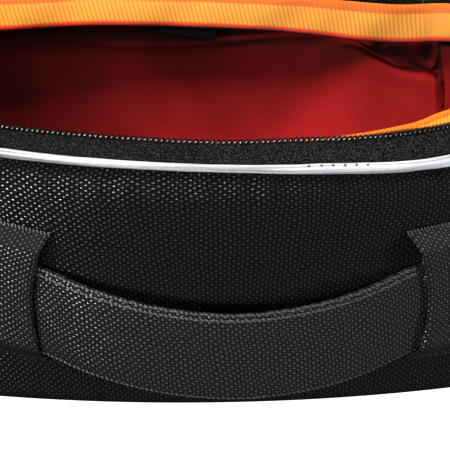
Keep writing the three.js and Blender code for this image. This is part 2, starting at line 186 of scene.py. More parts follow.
BAND = (
    BandRow(-1.0, 86.9, 100.3, 7.8),
    BandRow(-0.908, 88.2, 101.5, 7.8),
    BandRow(-0.812, 86.7, 100.2, 7.8),
    BandRow(-0.5, 85.5, 98.5, 7.2),
    BandRow(-0.187, 84.5, 97.5, 6.9),
    BandRow(0.0, 85.2, 98.2, 6.9),
    BandRow(0.061, 85.6, 98.6, 6.9),
    BandRow(0.106, 86.0, 99.3, 6.9),
    BandRow(0.152, 87.0, 100.3, 6.9),
    BandRow(0.178, 87.8, 101.2, 6.9),
    BandRow(0.205, 89.6, 103.1, 6.9),
    BandRow(0.235, 90.5, 104.0, 6.9),
    BandRow(0.375, 88.5, 102.0, 7.2),
    BandRow(0.57, 83.0, 97.0, 7.6),
    BandRow(0.735, 80.4, 95.2, 7.8),
    BandRow(0.79, 79.3, 94.3, 7.8),
    BandRow(0.828, 79.9, 95.0, 7.8),
    BandRow(0.9, 83.8, 98.0, 7.8),
    BandRow(0.948, 85.7, 99.2, 7.8),
    BandRow(1.0, 86.9, 100.3, 7.8),
)


# Numbers


def smooth_table(rows: Sequence[tuple], at: Array | float) -> Array:
    """Reads the later columns of a table by smooth curves through its rows.

    Args:
        rows: Table whose first column rises from row to row.
        at: Values of the first column to read at.

    Returns:
        One array shaped like `at` for each later column.
    """
    table = np.array(rows, float)
    key, values = table[:, 0], table[:, 1:].T
    before = np.maximum(np.arange(len(key)) - 1, 0)
    after = np.minimum(np.arange(len(key)) + 1, len(key) - 1)
    slope = (values[:, after] - values[:, before]) / (key[after] - key[before])
    at = np.clip(np.asarray(at, float), key[0], key[-1])
    low = np.clip(np.searchsorted(key, at, side="right") - 1, 0, len(key) - 2)
    width = key[low + 1] - key[low]
    t = (at - key[low]) / width
    ease = t * t * (3 - 2 * t)
    start = (1 - t) ** 2 * t * width * slope[:, low]
    end = t * t * (1 - t) * width * slope[:, low + 1]
    return values[:, low] * (1 - ease) + values[:, low + 1] * ease + start - end


def smooth_step(low: Array | float, high: Array | float, value: Array) -> Array:
    """Eases from 0 at `low` to 1 at `high`, which may be arrays too."""
    t = np.clip((value - low) / (high - low), 0, 1)
    return t * t * (3 - 2 * t)


def hill(place: Array, centre: Array | float, span: Array | float) -> Array:
    """Bell curve of height 1 round a centre, with a half span."""
    return np.exp(-(((place - centre) / span) ** 2))


def unit(vectors: Array) -> Array:
    """Vectors brought to length 1 along the last axis."""
    return vectors / np.linalg.norm(vectors, axis=-1, keepdims=True)


class Ripple(NamedTuple):
    """Sum of sines of mixed wavelengths, which a seed chooses, closed round the rim."""

    seed: int
    shortest: float
    longest: float
    sines: int
    # How far its crests lean, as distance along per height
    slant: float = 0.0

    def at(self, along: Array, height: Array | float = 0.0) -> Array:
        """Reads the ripple, which is the same on each run.

        Args:
            along: Distances round the rim in millimetres.
            height: Heights, in the unit that the slant is meant for.

        Returns:
            Values of about -1 to 1.
        """
        rng = np.random.default_rng(self.seed)
        whole_turns = np.round(2 * HALF_RIM / rng.uniform(self.shortest, self.longest, self.sines))
        phases = rng.uniform(0, 2 * math.pi, self.sines)
        angle = (along + self.slant * height) * math.pi / HALF_RIM
        total = sum(np.sin(angle * turns + phase) for turns, phase in zip(whole_turns, phases))
        return total / math.sqrt(self.sines)


# Plan of the bag


class Arcs(NamedTuple):
    """Centres and sweep of the two front arcs of a plan."""

    centre_y: Array | float
    corner_x: Array | float
    corner_y: Array | float
    sweep: Array | float


class Trace(NamedTuple):
    """Points of a plan outline with their outward normals."""

    x: Array
    y: Array
    nx: Array
    ny: Array

    def inside(self, inset: Array | float, z: Array | float) -> Array:
        """Points a distance inside the outline, at heights z."""
        x, y, z = np.broadcast_arrays(self.x - inset * self.nx, self.y - inset * self.ny, z)
        return np.stack([x, y, z], axis=-1)


def front_arcs(plan: Plan) -> Arcs:
    """Works out where the bowed front meets the front corner.

    Args:
        plan: Outline, whose fields may be arrays.

    Returns:
        Centres and sweep of the front's two arcs.
    """
    centre_y = plan.front_radius - plan.front
    corner_x = plan.side - plan.front_corner
    drop = np.sqrt((plan.front_radius - plan.front_corner) ** 2 - corner_x**2)
    return Arcs(centre_y, corner_x, centre_y - drop, np.arctan2(corner_x, drop))


def rim_legs() -> tuple[Array, float]:
    """Measures the legs of half the rim, front centre to back centre.

    Returns:
        Shares of the half rim at the ends of its legs, and its length.
    """
    arcs = front_arcs(RIM)
    lengths = [
        RIM.front_radius * arcs.sweep,
        RIM.front_corner * (math.pi / 2 - arcs.sweep),
        RIM.back - RIM.back_corner - arcs.corner_y,
        RIM.back_corner * math.pi / 2,
        RIM.side - RIM.back_corner,
    ]
    passed = np.concatenate([[0], np.cumsum(lengths)])
    return passed / passed[-1], float(passed[-1])


LEG_ENDS, HALF_RIM = rim_legs()
ZIP_END = float(LEG_ENDS[4])
TEETH = int(2 * ZIP_END * HALF_RIM / TOOTH_PITCH)
RIB_PITCH = 2 * HALF_RIM / RIBS


def trace(plan: Plan, u: Array) -> Trace:
    """Follows a plan outline.

    Args:
        plan: Outline, whose fields may be arrays that fit `u`.
        u: Places, from -1 to 1.

    Returns:
        Points and outward normals.
    """
    share = np.abs(u)
    leg = np.clip(np.searchsorted(LEG_ENDS, share, side="right") - 1, 0, 4)
    t = (share - LEG_ENDS[leg]) / (LEG_ENDS[leg + 1] - LEG_ENDS[leg])
    arcs = front_arcs(plan)
    back_x = plan.side - plan.back_corner
    back_y = plan.back - plan.back_corner
    quarter = math.pi / 2
    turn = np.choose(leg, [
        arcs.sweep * t,
        arcs.sweep + (quarter - arcs.sweep) * t,
        quarter + 0 * t,
        quarter * (1 + t),
        2 * quarter + 0 * t,
    ])
    radius = np.choose(leg, [plan.front_radius, plan.front_corner, 0, plan.back_corner, 0])
    centre_x = np.choose(leg, [0, arcs.corner_x, plan.side, back_x, back_x * (1 - t)])
    side_y = arcs.corner_y + (back_y - arcs.corner_y) * t
    centre_y = np.choose(leg, [arcs.centre_y, arcs.corner_y, side_y, back_y, plan.back])
    nx, ny = np.sin(turn), -np.cos(turn)
    sign = np.where(u < 0, -1.0, 1.0)
    return Trace(sign * (centre_x + radius * nx), centre_y + radius * ny, sign * nx, ny)


def wall_plan(rise: Array) -> Plan:
    """Outer plan of the tub at shares of the seam height."""
    return Plan(*smooth_table(BODY, rise))


def wall_point(along: Array, height: Array, off: Array | float) -> Array:
    """Points on the front of the tub.

    Args:
        along: Arc length from the front centre.
        height: Height above the floor.
        off: Distance off the wall.

    Returns:
        Points, with a last axis of three.
    """
    seam = smooth_table(LEVELS, along / HALF_RIM)[0]
    plan = wall_plan(height / seam)
    arcs = front_arcs(plan)
    reach = np.abs(along)
    front_length = plan.front_radius * arcs.sweep
    on_front = reach < front_length
    corner_turn = arcs.sweep + (reach - front_length) / plan.front_corner
    turn = np.where(on_front, reach / plan.front_radius, corner_turn)
    radius = np.where(on_front, plan.front_radius, plan.front_corner) + off
    x = np.where(on_front, 0, arcs.corner_x) + radius * np.sin(turn)
    y = np.where(on_front, arcs.centre_y, arcs.corner_y) - radius * np.cos(turn)
    return np.stack(np.broadcast_arrays(np.sign(along) * x, y, height), axis=-1)


def all_round(count: int) -> Array:
    """Places round the whole rim, as a column."""
    return np.linspace(-1, 1, count, endpoint=False)[:, None]


def along_zip(count: int) -> Array:
    """Places along the zip, from its left end at the back to its right end, as a column."""
    return np.linspace(-ZIP_END, ZIP_END, count)[:, None]


# Meshes


def cumulative(points: Array, axis: int, closed: bool) -> Array:
    """Mean distance passed along one axis of a grid of points, from 0.

    Args:
        points: Grid of points.
        axis: Axis to walk along.
        closed: True if the last point is joined to the first.

    Returns:
        Distances, one more than the points if the axis is closed.
    """
    walked = np.concatenate([points, np.take(points, [0], axis)], axis) if closed else points
    steps = np.linalg.norm(np.diff(walked, axis=axis), axis=-1).mean(axis=1 - axis)
    return np.concatenate([[0], np.cumsum(steps)])


def loft(name: str, points: Array, ring: bool, cloth: Array | None = None) -> bpy.types.Object:
    """Makes a closed mesh through rows of points, each row a closed section.

    Args:
        name: Name of the piece.
        points: Rows of sections, in millimetres.
        ring: True if the last section is joined to the first, else flat faces close the ends.
        cloth: Cloth coordinates in millimetres, with one extra row (for a ring) and column.

    Returns:
        The new object, with its faces pointing out and a map of cloth coordinates.
    """
    rows, columns = points.shape[:2]
    spans = rows if ring else rows - 1
    r, c = (grid.ravel() for grid in np.meshgrid(np.arange(spans), np.arange(columns), indexing="ij"))
    corners = [(r, c), (r, c + 1), (r + 1, c + 1), (r + 1, c)]
    if cloth is None:
        along, across = cumulative(points, 0, ring), cumulative(points, 1, True)
        cloth = np.stack(np.meshgrid(along, across, indexing="ij"), axis=-1)
    quads = np.stack([(i % rows) * columns + j % columns for i, j in corners], axis=1)
    quad_map = np.stack([cloth[i, j] for i, j in corners], axis=1)
    flat = points.reshape(-1, 3)
    # The sign of the volume tells which way the faces point
    a, b, d, e = (flat[quads[:, k]] for k in range(4))
    volume = np.einsum("ij,ij->", a, np.cross(b, d)) + np.einsum("ij,ij->", a, np.cross(d, e))
    caps = [] if ring else [np.arange(columns)[::-1], np.arange(columns) + (rows - 1) * columns]
    for cap in caps:
        first = np.repeat(flat[cap[:1]], columns - 2, 0)
        volume += np.einsum("ij,ij->", first, np.cross(flat[cap[1:-1]], flat[cap[2:]]))
    if volume < 0:
        quads, quad_map = quads[:, ::-1], quad_map[:, ::-1]
        caps = [cap[::-1] for cap in caps]
    cap_map = [flat[cap][:, :2] + flat[cap][:, 2:] for cap in caps]
    mesh = bpy.data.meshes.new(name)
    mesh.from_pydata((flat * MM).tolist(), [], quads.tolist() + [cap.tolist() for cap in caps])
    coordinates = np.concatenate([quad_map.reshape(-1, 2), *cap_map])
    mesh.uv_layers.new(name=CLOTH_MAP).data.foreach_set("uv", coordinates.ravel())
    mesh.shade_smooth()
    mesh.set_sharp_from_angle(angle=SHARP_EDGE)
    return bpy.data.objects.new(name, mesh)


class Bead(NamedTuple):
    """Round bead of unit radius, as points and faces."""

    points: Array
    faces: list[list[int]]


def round_bead(sides: int, rings: int, squareness: float = 1.0) -> Bead:
    """Makes a bead whose poles lie on its third axis.

    Args:
        sides: Faces round the axis.
        rings: Rings of points between the poles.
        squareness: Below 1 makes the bead fuller, towards a rounded cylinder.

    Returns:
        The bead.
    """
    tilt = np.linspace(-math.pi / 2, math.pi / 2, rings + 2)[1:-1]
    turn = np.linspace(0, 2 * math.pi, sides, endpoint=False)
    wide = np.cos(tilt) ** squareness
    ring = np.stack([np.outer(wide, np.cos(turn)), np.outer(wide, np.sin(turn))], axis=-1)
    height = np.repeat(np.sin(tilt)[:, None], sides, 1)[..., None]
    points = np.concatenate([np.concatenate([ring, height], -1).reshape(-1, 3), [[0, 0, -1], [0, 0, 1]]])
    south, north = rings * sides, rings * sides + 1
    faces = []
    for s in range(sides):
        after = (s + 1) % sides
        faces.append([south, after, s])
        for k in range(rings - 1):
            here, above = k * sides, (k + 1) * sides
            faces.append([here + s, here + after, above + after, above + s])
        top = (rings - 1) * sides
        faces.append([north, top + s, top + after])
    return Bead(points, faces)


YARN_BEAD = round_bead(sides=8, rings=5)


def bead_row(name: str, bead: Bead, origins: Array, axes: Array) -> bpy.types.Object:
    """Makes one mesh of many copies of a bead.

    Args:
        name: Name of the piece.
        bead: Bead to copy.
        origins: Middle of each copy, in millimetres.
        axes: Three half axes of each copy, as rows.

    Returns:
        The new object.
    """
    points = origins[:, None] + np.einsum("pk,nkc->npc", bead.points, axes)
    faces = [[corner + copy * len(bead.points) for corner in face]
             for copy in range(len(origins)) for face in bead.faces]
    mesh = bpy.data.meshes.new(name)
    mesh.from_pydata((points.reshape(-1, 3) * MM).tolist(), [], faces)
    mesh.uv_layers.new(name=CLOTH_MAP)
    mesh.shade_smooth()
    return bpy.data.objects.new(name, mesh)


def row_axes(line: Array, upward: Array, half_sizes: Triple) -> Array:
    """Half axes of beads set along a line: along it, out of it and up.

    Args:
        line: Middles of the beads.
        upward: Direction of each bead's third axis.
        half_sizes: Half sizes along, out and up.

    Returns:
        Array of three rows for each bead.
    """
    along = unit(np.gradient(line, axis=0))
    out = unit(np.cross(along, upward))
    return np.stack([along, out, np.cross(out, along)], axis=1) * np.array(half_sizes)[:, None]


def slanted_axes(line: Array, upward: Array, half_sizes: Triple, slant: float) -> Array:
    """Half axes of beads set along a line and leaning down it, for yarns that wrap a cloth's edge."""
    along, out, up = np.moveaxis(row_axes(line, upward, (1.0, 1.0, 1.0)), 1, 0)
    return np.stack([along - slant * up, out, up + slant * along], axis=1) * np.array(half_sizes)[:, None]


# Finishes


def linear(code: str) -> tuple[float, float, float, float]:
    """Linear colour of an sRGB hex value such as #aabbcc."""
    channels = [int(code[i:i + 2], 16) / 255 for i in (1, 3, 5)]
    return (*(c / 12.92 if c <= 0.04045 else ((c + 0.055) / 1.055) ** 2.4 for c in channels), 1.0)


def add(
    tree: bpy.types.NodeTree, kind: str, inputs: Mapping | None = None, **settings: object
) -> bpy.types.Node:
    """Adds a node with its settings and links.

    Args:
        tree: Node tree to add to.
        kind: Node type, without its ShaderNode prefix.
        inputs: Values, sockets or nodes for the node's inputs, by name or number.
        settings: Attributes of the node.

    Returns:
        The new node.
    """
    node = tree.nodes.new("ShaderNode" + kind)
    for name, value in settings.items():
        setattr(node, name, value)
    for socket, value in (inputs or {}).items():
        if isinstance(value, bpy.types.Node):
            value = value.outputs[0]
        if isinstance(value, bpy.types.NodeSocket):
            tree.links.new(value, node.inputs[socket])
        else:
            node.inputs[socket].default_value = value
    return node


def paint_stops(ramp: bpy.types.Node, stops: Sequence[tuple[float, str]]) -> bpy.types.Node:
    """Sets the stops of a colour ramp.

    Args:
        ramp: Colour ramp node.
        stops: Places and hex colours, two or more.

    Returns:
        The same node.
    """
    elements = ramp.color_ramp.elements
    while len(elements) < len(stops):
        elements.new(1.0)
    for element, (place, code) in zip(elements, stops):
        element.position = place
        element.color = linear(code)
    return ramp


# Typical of polyamide
NYLON_IOR = 1.53


class Finish:
    """Base of the finishes: each one grows its nodes on a new material."""

    def grow(self, tree: bpy.types.NodeTree) -> bpy.types.Node:
        """Adds the finish's nodes and returns its shader."""
        raise NotImplementedError

    @cache
    def material(self) -> bpy.types.Material:
        """Makes the material of this finish, once.

        Returns:
            The material.
        """
        material = bpy.data.materials.new(type(self).__name__)
        material.use_nodes = True
        tree = material.node_tree
        tree.nodes.clear()
        add(tree, "OutputMaterial", {"Surface": self.grow(tree)})
        return material


@dataclass(frozen=True)
class WovenNylon(Finish):
    """Ballistic nylon, plain woven from thick black yarn: rows of shiny beads and dull ones, with painted
    shade in the pits between them.
    """

    # Half repeats of the weave along and across the cloth, as read from its beads
    along: float = 1.52
    across: float = 1.06
    depth: float = 0.14
    # Painted colours: shade in the pits, and light on the tops of the upper yarns
    pit_shade: str = "#0a0a09"
    under: str = "#1b1b1a"
    lit_yarn: str = "#292927"
    # Roughness on the tops of the yarns and in the pits
    gloss: float = 0.24
    matt: float = 0.7
    # The yarns wander from their straight rows: over what length, and how far
    wander_length: float = 1 / 0.09
    wander: float = 2.2
    # Single yarns differ in how high they stand: over what length, and between which shares
    uneven_length: float = 1 / 0.55
    uneven: Pair = (0.85, 1.1)
    # Spacing of the fibres in the yarn, and their share of the relief
    fibre: float = 1 / 3.4
    fibre_share: float = 0.25

    def grow(self, tree: bpy.types.NodeTree) -> bpy.types.Node:
        """Adds the finish's nodes.

        Args:
            tree: Node tree of the new material.

        Returns:
            The shader.
        """
        cloth = add(tree, "UVMap", uv_map=CLOTH_MAP)
        drift = add(
            tree, "TexNoise", {"Vector": cloth, "Scale": 1 / self.wander_length, "Detail": 2.0},
            noise_dimensions="2D",
        )
        centred = add(
            tree, "VectorMath", {0: drift.outputs["Color"], 1: (0.5, 0.5, 0.5)}, operation="SUBTRACT"
        )
        moved = add(
            tree, "VectorMath", {0: centred, 1: (self.wander, self.wander, 0.0), 2: cloth},
            operation="MULTIPLY_ADD",
        )
        parts = add(tree, "SeparateXYZ", {0: moved})
        turn_x = add(tree, "Math", {0: parts.outputs["X"], 1: math.pi / self.along}, operation="MULTIPLY")
        turn_y = add(tree, "Math", {0: parts.outputs["Y"], 1: math.pi / self.across}, operation="MULTIPLY")
        wave_x = add(tree, "Math", {0: turn_x}, operation="COSINE")
        wave_y = add(tree, "Math", {0: turn_y}, operation="COSINE")
        checks = add(tree, "Math", {0: wave_x, 1: wave_y}, operation="MULTIPLY")
        patches = add(
            tree, "TexNoise", {"Vector": cloth, "Scale": 1 / self.uneven_length, "Detail": 1.0},
            noise_dimensions="2D",
        )
        low, high = self.uneven
        share = add(tree, "MapRange", {"Value": patches, 1: 0.3, 2: 0.7, 3: low, 4: high})
        # The fibres break the gloss
        fibres = add(
            tree, "TexNoise", {"Vector": cloth, "Scale": 1 / self.fibre, "Detail": 2.0},
            noise_dimensions="2D",
        )
        raised = add(tree, "Math", {0: checks, 1: share}, operation="MULTIPLY")
        height = add(tree, "Math", {0: fibres, 1: self.fibre_share, 2: raised}, operation="MULTIPLY_ADD")
        bump = add(tree, "Bump", {"Height": height, "Distance": self.depth * MM, "Strength": 1.0})
        # Only the tops of the upper yarns are worn smooth. The colour holds painted light on those tops and
        # painted shade in the pits between the yarns
        tops = add(tree, "MapRange", {"Value": height, 1: 0.5, 2: 0.92}, interpolation_type="SMOOTHSTEP")
        place = add(tree, "MapRange", {"Value": height, 1: -1.0, 2: 1.2})
        colour = paint_stops(
            add(tree, "ValToRGB", {0: place}),
            ((0.05, self.under), (0.42, self.pit_shade), (0.58, self.pit_shade), (0.92, self.lit_yarn)),
        )
        shine = paint_stops(add(tree, "ValToRGB", {0: tops}), ((0.0, "#000000"), (1.0, "#ffffff")))
        roughness = add(tree, "MapRange", {"Value": tops, 3: self.matt, 4: self.gloss})
        return add(tree, "BsdfPrincipled", {
            "Base Color": colour.outputs["Color"],
            "Roughness": roughness,
            "Normal": bump,
            "IOR": NYLON_IOR,
            "Specular IOR Level": 0.3,
            "Specular Tint": shine.outputs["Color"],
        })


@dataclass(frozen=True)
class ReflectiveTape(Finish):
    """Reflective polyester tape folded round a cord: bright white with faint lengthwise streaks."""

    lit: str = "#c7c9cc"
    streak: str = "#909296"
    # Spacing of the streaks across the tape, and their length
    spacing: float = 1.1
    length: float = 50.0
    # Spacing and depth of the fine grain
    grain: float = 0.5
    depth: float = 0.08

    def grow(self, tree: bpy.types.NodeTree) -> bpy.types.Node:
        """Adds the finish's nodes.

        Args:
            tree: Node tree of the new material.

        Returns:
            The shader.
        """
        cloth = add(tree, "UVMap", uv_map=CLOTH_MAP)
        scaled = add(
            tree, "VectorMath", {0: cloth, 1: (1 / self.length, 1 / self.spacing, 1.0)},
            operation="MULTIPLY",
        )
        streaks = add(
            tree, "TexNoise", {"Vector": scaled, "Scale": 1.0, "Detail": 4.0}, noise_dimensions="2D"
        )
        colour = paint_stops(
            add(tree, "ValToRGB", {0: streaks}), ((0.36, self.streak), (0.6, self.lit))
        )
        grain = add(
            tree, "TexNoise", {"Vector": cloth, "Scale": 1 / self.grain, "Detail": 3.0},
            noise_dimensions="2D",
        )
        bump = add(tree, "Bump", {"Height": grain, "Distance": self.depth * MM, "Strength": 1.0})
        return add(tree, "BsdfPrincipled", {
            "Base Color": colour.outputs["Color"],
            "Roughness": 0.5,
            "Normal": bump,
            "Specular IOR Level": 0.1,
        })


@dataclass(frozen=True)
class KnittedTape(Finish):
    """Warp-knitted polyester zip tape: dark grey with fine pale specks painted where its loops catch light.
    """

    ground: str = "#040404"
    dull: str = "#080808"
    pale: str = "#1c1c1a"
    lit_loop: str = "#70706a"
    # Size of the knitted loops, drawn about twice as coarse as real so that they show
    loop_size: float = 0.46
    depth: float = 0.45

    def grow(self, tree: bpy.types.NodeTree) -> bpy.types.Node:
        """Adds the finish's nodes.

        Args:
            tree: Node tree of the new material.

        Returns:
            The shader.
        """
        cloth = add(tree, "UVMap", uv_map=CLOTH_MAP)
        loops = add(
            tree, "TexNoise",
            {
                "Vector": cloth,
                "Scale": 1 / self.loop_size,
                "Detail": 3.0,
                "Roughness": 0.7,
                "Distortion": 1.2,
            },
            noise_dimensions="2D",
        )
        # The pale stops are painted highlights on the knitted loops
        colour = paint_stops(
            add(tree, "ValToRGB", {0: loops}),
            ((0.44, self.ground), (0.51, self.dull), (0.57, self.pale), (0.66, self.lit_loop)),
        )
        bump = add(tree, "Bump", {"Height": loops, "Distance": self.depth * MM, "Strength": 1.0})
        return add(tree, "BsdfPrincipled", {
            "Base Color": colour.outputs["Color"],
            "Roughness": 0.8,
            "Normal": bump,
            "Specular IOR Level": 0.03,
        })


@dataclass(frozen=True)
class CoilNylon(Finish):
    """Moulded nylon zip coil: deep black and glossy, with one hard glint on each tooth."""

    colour: str = "#080808"
    sheen: str = "#151515"
    # Spacing of the worn spots
    wear: float = 1 / 0.9

    def grow(self, tree: bpy.types.NodeTree) -> bpy.types.Node:
        """Adds the finish's nodes.

        Args:
            tree: Node tree of the new material.

        Returns:
            The shader.
        """
        place = add(tree, "TexCoord")
        wear = add(
            tree, "TexNoise",
            {"Vector": place.outputs["Object"], "Scale": 1 / (self.wear * MM), "Detail": 2.0},
        )
        colour = paint_stops(
            add(tree, "ValToRGB", {0: wear}), ((0.35, self.colour), (0.7, self.sheen))
        )
        gloss = add(tree, "MapRange", {"Value": wear, 1: 0.3, 2: 0.7, 3: 0.2, 4: 0.3})
        return add(tree, "BsdfPrincipled", {
            "Base Color": colour.outputs["Color"],
            "Roughness": gloss,
            "IOR": NYLON_IOR,
            "Specular IOR Level": 0.5,
        })


@dataclass(frozen=True)
class Grosgrain(Finish):
    """Orange polyester grosgrain: round crosswise ribs, with painted light on their crests and painted
    red-orange shade between them.
    """

    pitch: float = RIB_PITCH
    # Painted shade in the grooves and painted light on the crests of the ribs
    shaded_groove: str = "#e88121"
    middle: str = "#f19328"
    lit_crest: str = "#f9aa3c"
    # The lower fold is painted red-orange, a painted reflection of the red lining
    fold: str = "#fb3c12"
    selvage: str = "#e05a12"
    # Distances round the folded section: the selvage on the inner face, and the lower fold
    selvage_from: float = 10.8
    selvage_to: float = 17.4
    fold_from: float = 25.2
    # Cover of the selvage's reddish yarn over the ribs, and how uneven the woven edges are
    selvage_share: float = 0.8
    edge_wander: float = 1.2
    # Spacing and depth of the fibres
    fibre: float = 1 / 2.6
    depth: float = 0.2

    def grow(self, tree: bpy.types.NodeTree) -> bpy.types.Node:
        """Adds the finish's nodes.

        Args:
            tree: Node tree of the new material.

        Returns:
            The shader.
        """
        cloth = add(tree, "UVMap", uv_map=CLOTH_MAP)
        parts = add(tree, "SeparateXYZ", {0: cloth})
        turn = add(tree, "Math", {0: parts.outputs["X"], 1: math.pi / self.pitch}, operation="MULTIPLY")
        wave = add(tree, "Math", {0: turn}, operation="SINE")
        rib = add(tree, "Math", {0: wave}, operation="ABSOLUTE")
        fibres = add(
            tree, "TexNoise",
            {"Vector": cloth, "Scale": 1 / self.fibre, "Detail": 3.0, "Roughness": 0.65},
            noise_dimensions="2D",
        )
        mixed = add(tree, "Math", {0: fibres, 1: 0.5, 2: rib}, operation="MULTIPLY_ADD")
        face = paint_stops(
            add(tree, "ValToRGB", {0: mixed}),
            ((0.3, self.shaded_groove), (0.7, self.middle), (1.0, self.lit_crest)),
        )
        path = add(
            tree, "Math", {0: fibres, 1: self.edge_wander, 2: parts.outputs["Y"]}, operation="MULTIPLY_ADD"
        )
        past = add(tree, "MapRange", {"Value": path, 1: self.selvage_from, 2: self.selvage_from + 0.5})
        until = add(tree, "MapRange", {"Value": path, 1: self.selvage_to + 0.4, 2: self.selvage_to})
        edge = add(tree, "Math", {0: past, 1: until}, operation="MULTIPLY")
        on_selvage = add(tree, "Math", {0: edge, 1: self.selvage_share}, operation="MULTIPLY")
        # Painted red reflection of the lining on the lower fold
        fold_reflection = add(tree, "MapRange", {"Value": path, 1: self.fold_from, 2: self.fold_from + 0.9})
        edged = add(
            tree, "Mix", {"Factor": on_selvage, "A": face.outputs["Color"], "B": linear(self.selvage)},
            data_type="RGBA",
        )
        colour = add(
            tree, "Mix", {"Factor": fold_reflection, "A": edged.outputs["Result"], "B": linear(self.fold)},
            data_type="RGBA",
        )
        bump = add(tree, "Bump", {"Height": fibres, "Distance": self.depth * MM, "Strength": 0.7})
        return add(tree, "BsdfPrincipled", {
            "Base Color": colour.outputs["Result"],
            "Roughness": 0.75,
            "Normal": bump,
            "Specular IOR Level": 0.25,
        })


@dataclass(frozen=True)
class LiningTaffeta(Finish):
    """Red polyester taffeta, plain woven and calendered: smooth, nearly matt, with faint clouds."""

    shade: str = "#8c1815"
    lit: str = "#a41d1f"
    # Size of the faint clouds, and spacing of the fine slubs
    cloud: float = 1 / 0.03
    slub: float = 1.4
    # Share of the slubs in the colour, of the clouds in the relief, and the relief's depth
    slub_share: float = 0.35
    cloud_share: float = 2.5
    depth: float = 0.12

    def grow(self, tree: bpy.types.NodeTree) -> bpy.types.Node:
        """Adds the finish's nodes.

        Args:
            tree: Node tree of the new material.

        Returns:
            The shader.
        """
        cloth = add(tree, "UVMap", uv_map=CLOTH_MAP)
        broad = add(
            tree, "TexNoise", {"Vector": cloth, "Scale": 1 / self.cloud, "Detail": 3.0},
            noise_dimensions="2D",
        )
        fine = add(
            tree, "TexNoise", {"Vector": cloth, "Scale": 1 / self.slub, "Detail": 3.0},
            noise_dimensions="2D",
        )
        mixed = add(tree, "Math", {0: fine, 1: self.slub_share, 2: broad}, operation="MULTIPLY_ADD")
        colour = paint_stops(
            add(tree, "ValToRGB", {0: mixed}), ((0.4, self.shade), (0.85, self.lit))
        )
        relief = add(tree, "Math", {0: broad, 1: self.cloud_share, 2: fine}, operation="MULTIPLY_ADD")
        bump = add(tree, "Bump", {"Height": relief, "Distance": self.depth * MM, "Strength": 1.0})
        return add(tree, "BsdfPrincipled", {
            "Base Color": colour.outputs["Color"],
            "Roughness": 0.8,
            "Specular IOR Level": 0.05,
            "Normal": bump,
        })


@dataclass(frozen=True)
class LabelTape(Finish):
    """Plain black woven label tape: matt, with fine crosswise ribs."""

    ground: str = "#060505"
    rib: str = "#0d0b0a"
    pitch: float = 0.6
    depth: float = 0.1

    def grow(self, tree: bpy.types.NodeTree) -> bpy.types.Node:
        """Adds the finish's nodes.

        Args:
            tree: Node tree of the new material.

        Returns:
            The shader.
        """
        cloth = add(tree, "UVMap", uv_map=CLOTH_MAP)
        parts = add(tree, "SeparateXYZ", {0: cloth})
        turn = add(tree, "Math", {0: parts.outputs["Y"], 1: math.pi / self.pitch}, operation="MULTIPLY")
        wave = add(tree, "Math", {0: turn}, operation="SINE")
        rib = add(tree, "Math", {0: wave}, operation="ABSOLUTE")
        colour = paint_stops(add(tree, "ValToRGB", {0: rib}), ((0.2, self.ground), (0.9, self.rib)))
        bump = add(tree, "Bump", {"Height": rib, "Distance": self.depth * MM, "Strength": 1.0})
        return add(tree, "BsdfPrincipled", {
            "Base Color": colour.outputs["Color"],
            "Roughness": 0.8,
            "Normal": bump,
            "Specular IOR Level": 0.08,
        })


@dataclass(frozen=True)
class BlackLacquer(Finish):
    """Die-cast zinc under black lacquer: smooth, dark and softly shiny."""

    colour: str = "#141414"
    worn: str = "#2c2c2b"
    # Spacing of the worn spots
    wear: float = 2.5

    def grow(self, tree: bpy.types.NodeTree) -> bpy.types.Node:
        """Adds the finish's nodes.

        Args:
            tree: Node tree of the new material.

        Returns:
            The shader.
        """
        place = add(tree, "TexCoord")
        wear = add(
            tree, "TexNoise",
            {"Vector": place.outputs["Object"], "Scale": 1 / (self.wear * MM), "Detail": 3.0},
        )
        colour = paint_stops(add(tree, "ValToRGB", {0: wear}), ((0.45, self.colour), (0.75, self.worn)))
        gloss = add(tree, "MapRange", {"Value": wear, 1: 0.3, 2: 0.7, 3: 0.25, 4: 0.42})
        return add(tree, "BsdfPrincipled", {
            "Base Color": colour.outputs["Color"],
            "Roughness": gloss,
            "Coat Weight": 0.4,
            "Coat Roughness": 0.15,
        })


@dataclass(frozen=True)
class SewingThread(Finish):
    """Bonded polyester sewing thread: smooth, with a soft gloss."""

    colour: str
    shade: str
    # Length of the thread's twist
    twist: float = 1 / 1.5

    def grow(self, tree: bpy.types.NodeTree) -> bpy.types.Node:
        """Adds the finish's nodes.

        Args:
            tree: Node tree of the new material.

        Returns:
            The shader.
        """
        place = add(tree, "TexCoord")
        twist = add(
            tree, "TexNoise",
            {"Vector": place.outputs["Object"], "Scale": 1 / (self.twist * MM), "Detail": 1.0},
        )
        colour = paint_stops(add(tree, "ValToRGB", {0: twist}), ((0.35, self.shade), (0.65, self.colour)))
        return add(tree, "BsdfPrincipled", {"Base Color": colour.outputs["Color"], "Roughness": 0.5})


@dataclass(frozen=True)
class StudioFloor(Finish):
    """White painted studio floor, lit up to a clean white."""

    colour: str = "#fafafa"
    glow: float = 1.2

    def grow(self, tree: bpy.types.NodeTree) -> bpy.types.Node:
        """Adds the finish's nodes and returns its shader."""
        return add(tree, "BsdfPrincipled", {
            "Base Color": linear(self.colour),
            "Roughness": 0.9,
            "Emission Color": linear(self.colour),
            "Emission Strength": self.glow,
        })


def dress(piece: bpy.types.Object, finish: Finish, slot: Slot, *nodes: str) -> bpy.types.Object:
    """Puts a new piece into the scene on the bag's body.

    Args:
        piece: New object.
        finish: Its finish.
        slot: Material slot of the record that it belongs to; not used.
        nodes: Plain solids that it replaces.

    Returns:
        The same piece.
    """
    bpy.context.scene.collection.objects.link(piece)
    piece.data.materials.append(finish.material())
    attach(piece, BODY_NAME)
    if nodes:
        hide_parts(*nodes)
    LOG.info("%s: %d faces", piece.name, len(piece.data.polygons))
    return piece


# Sub-assemblies

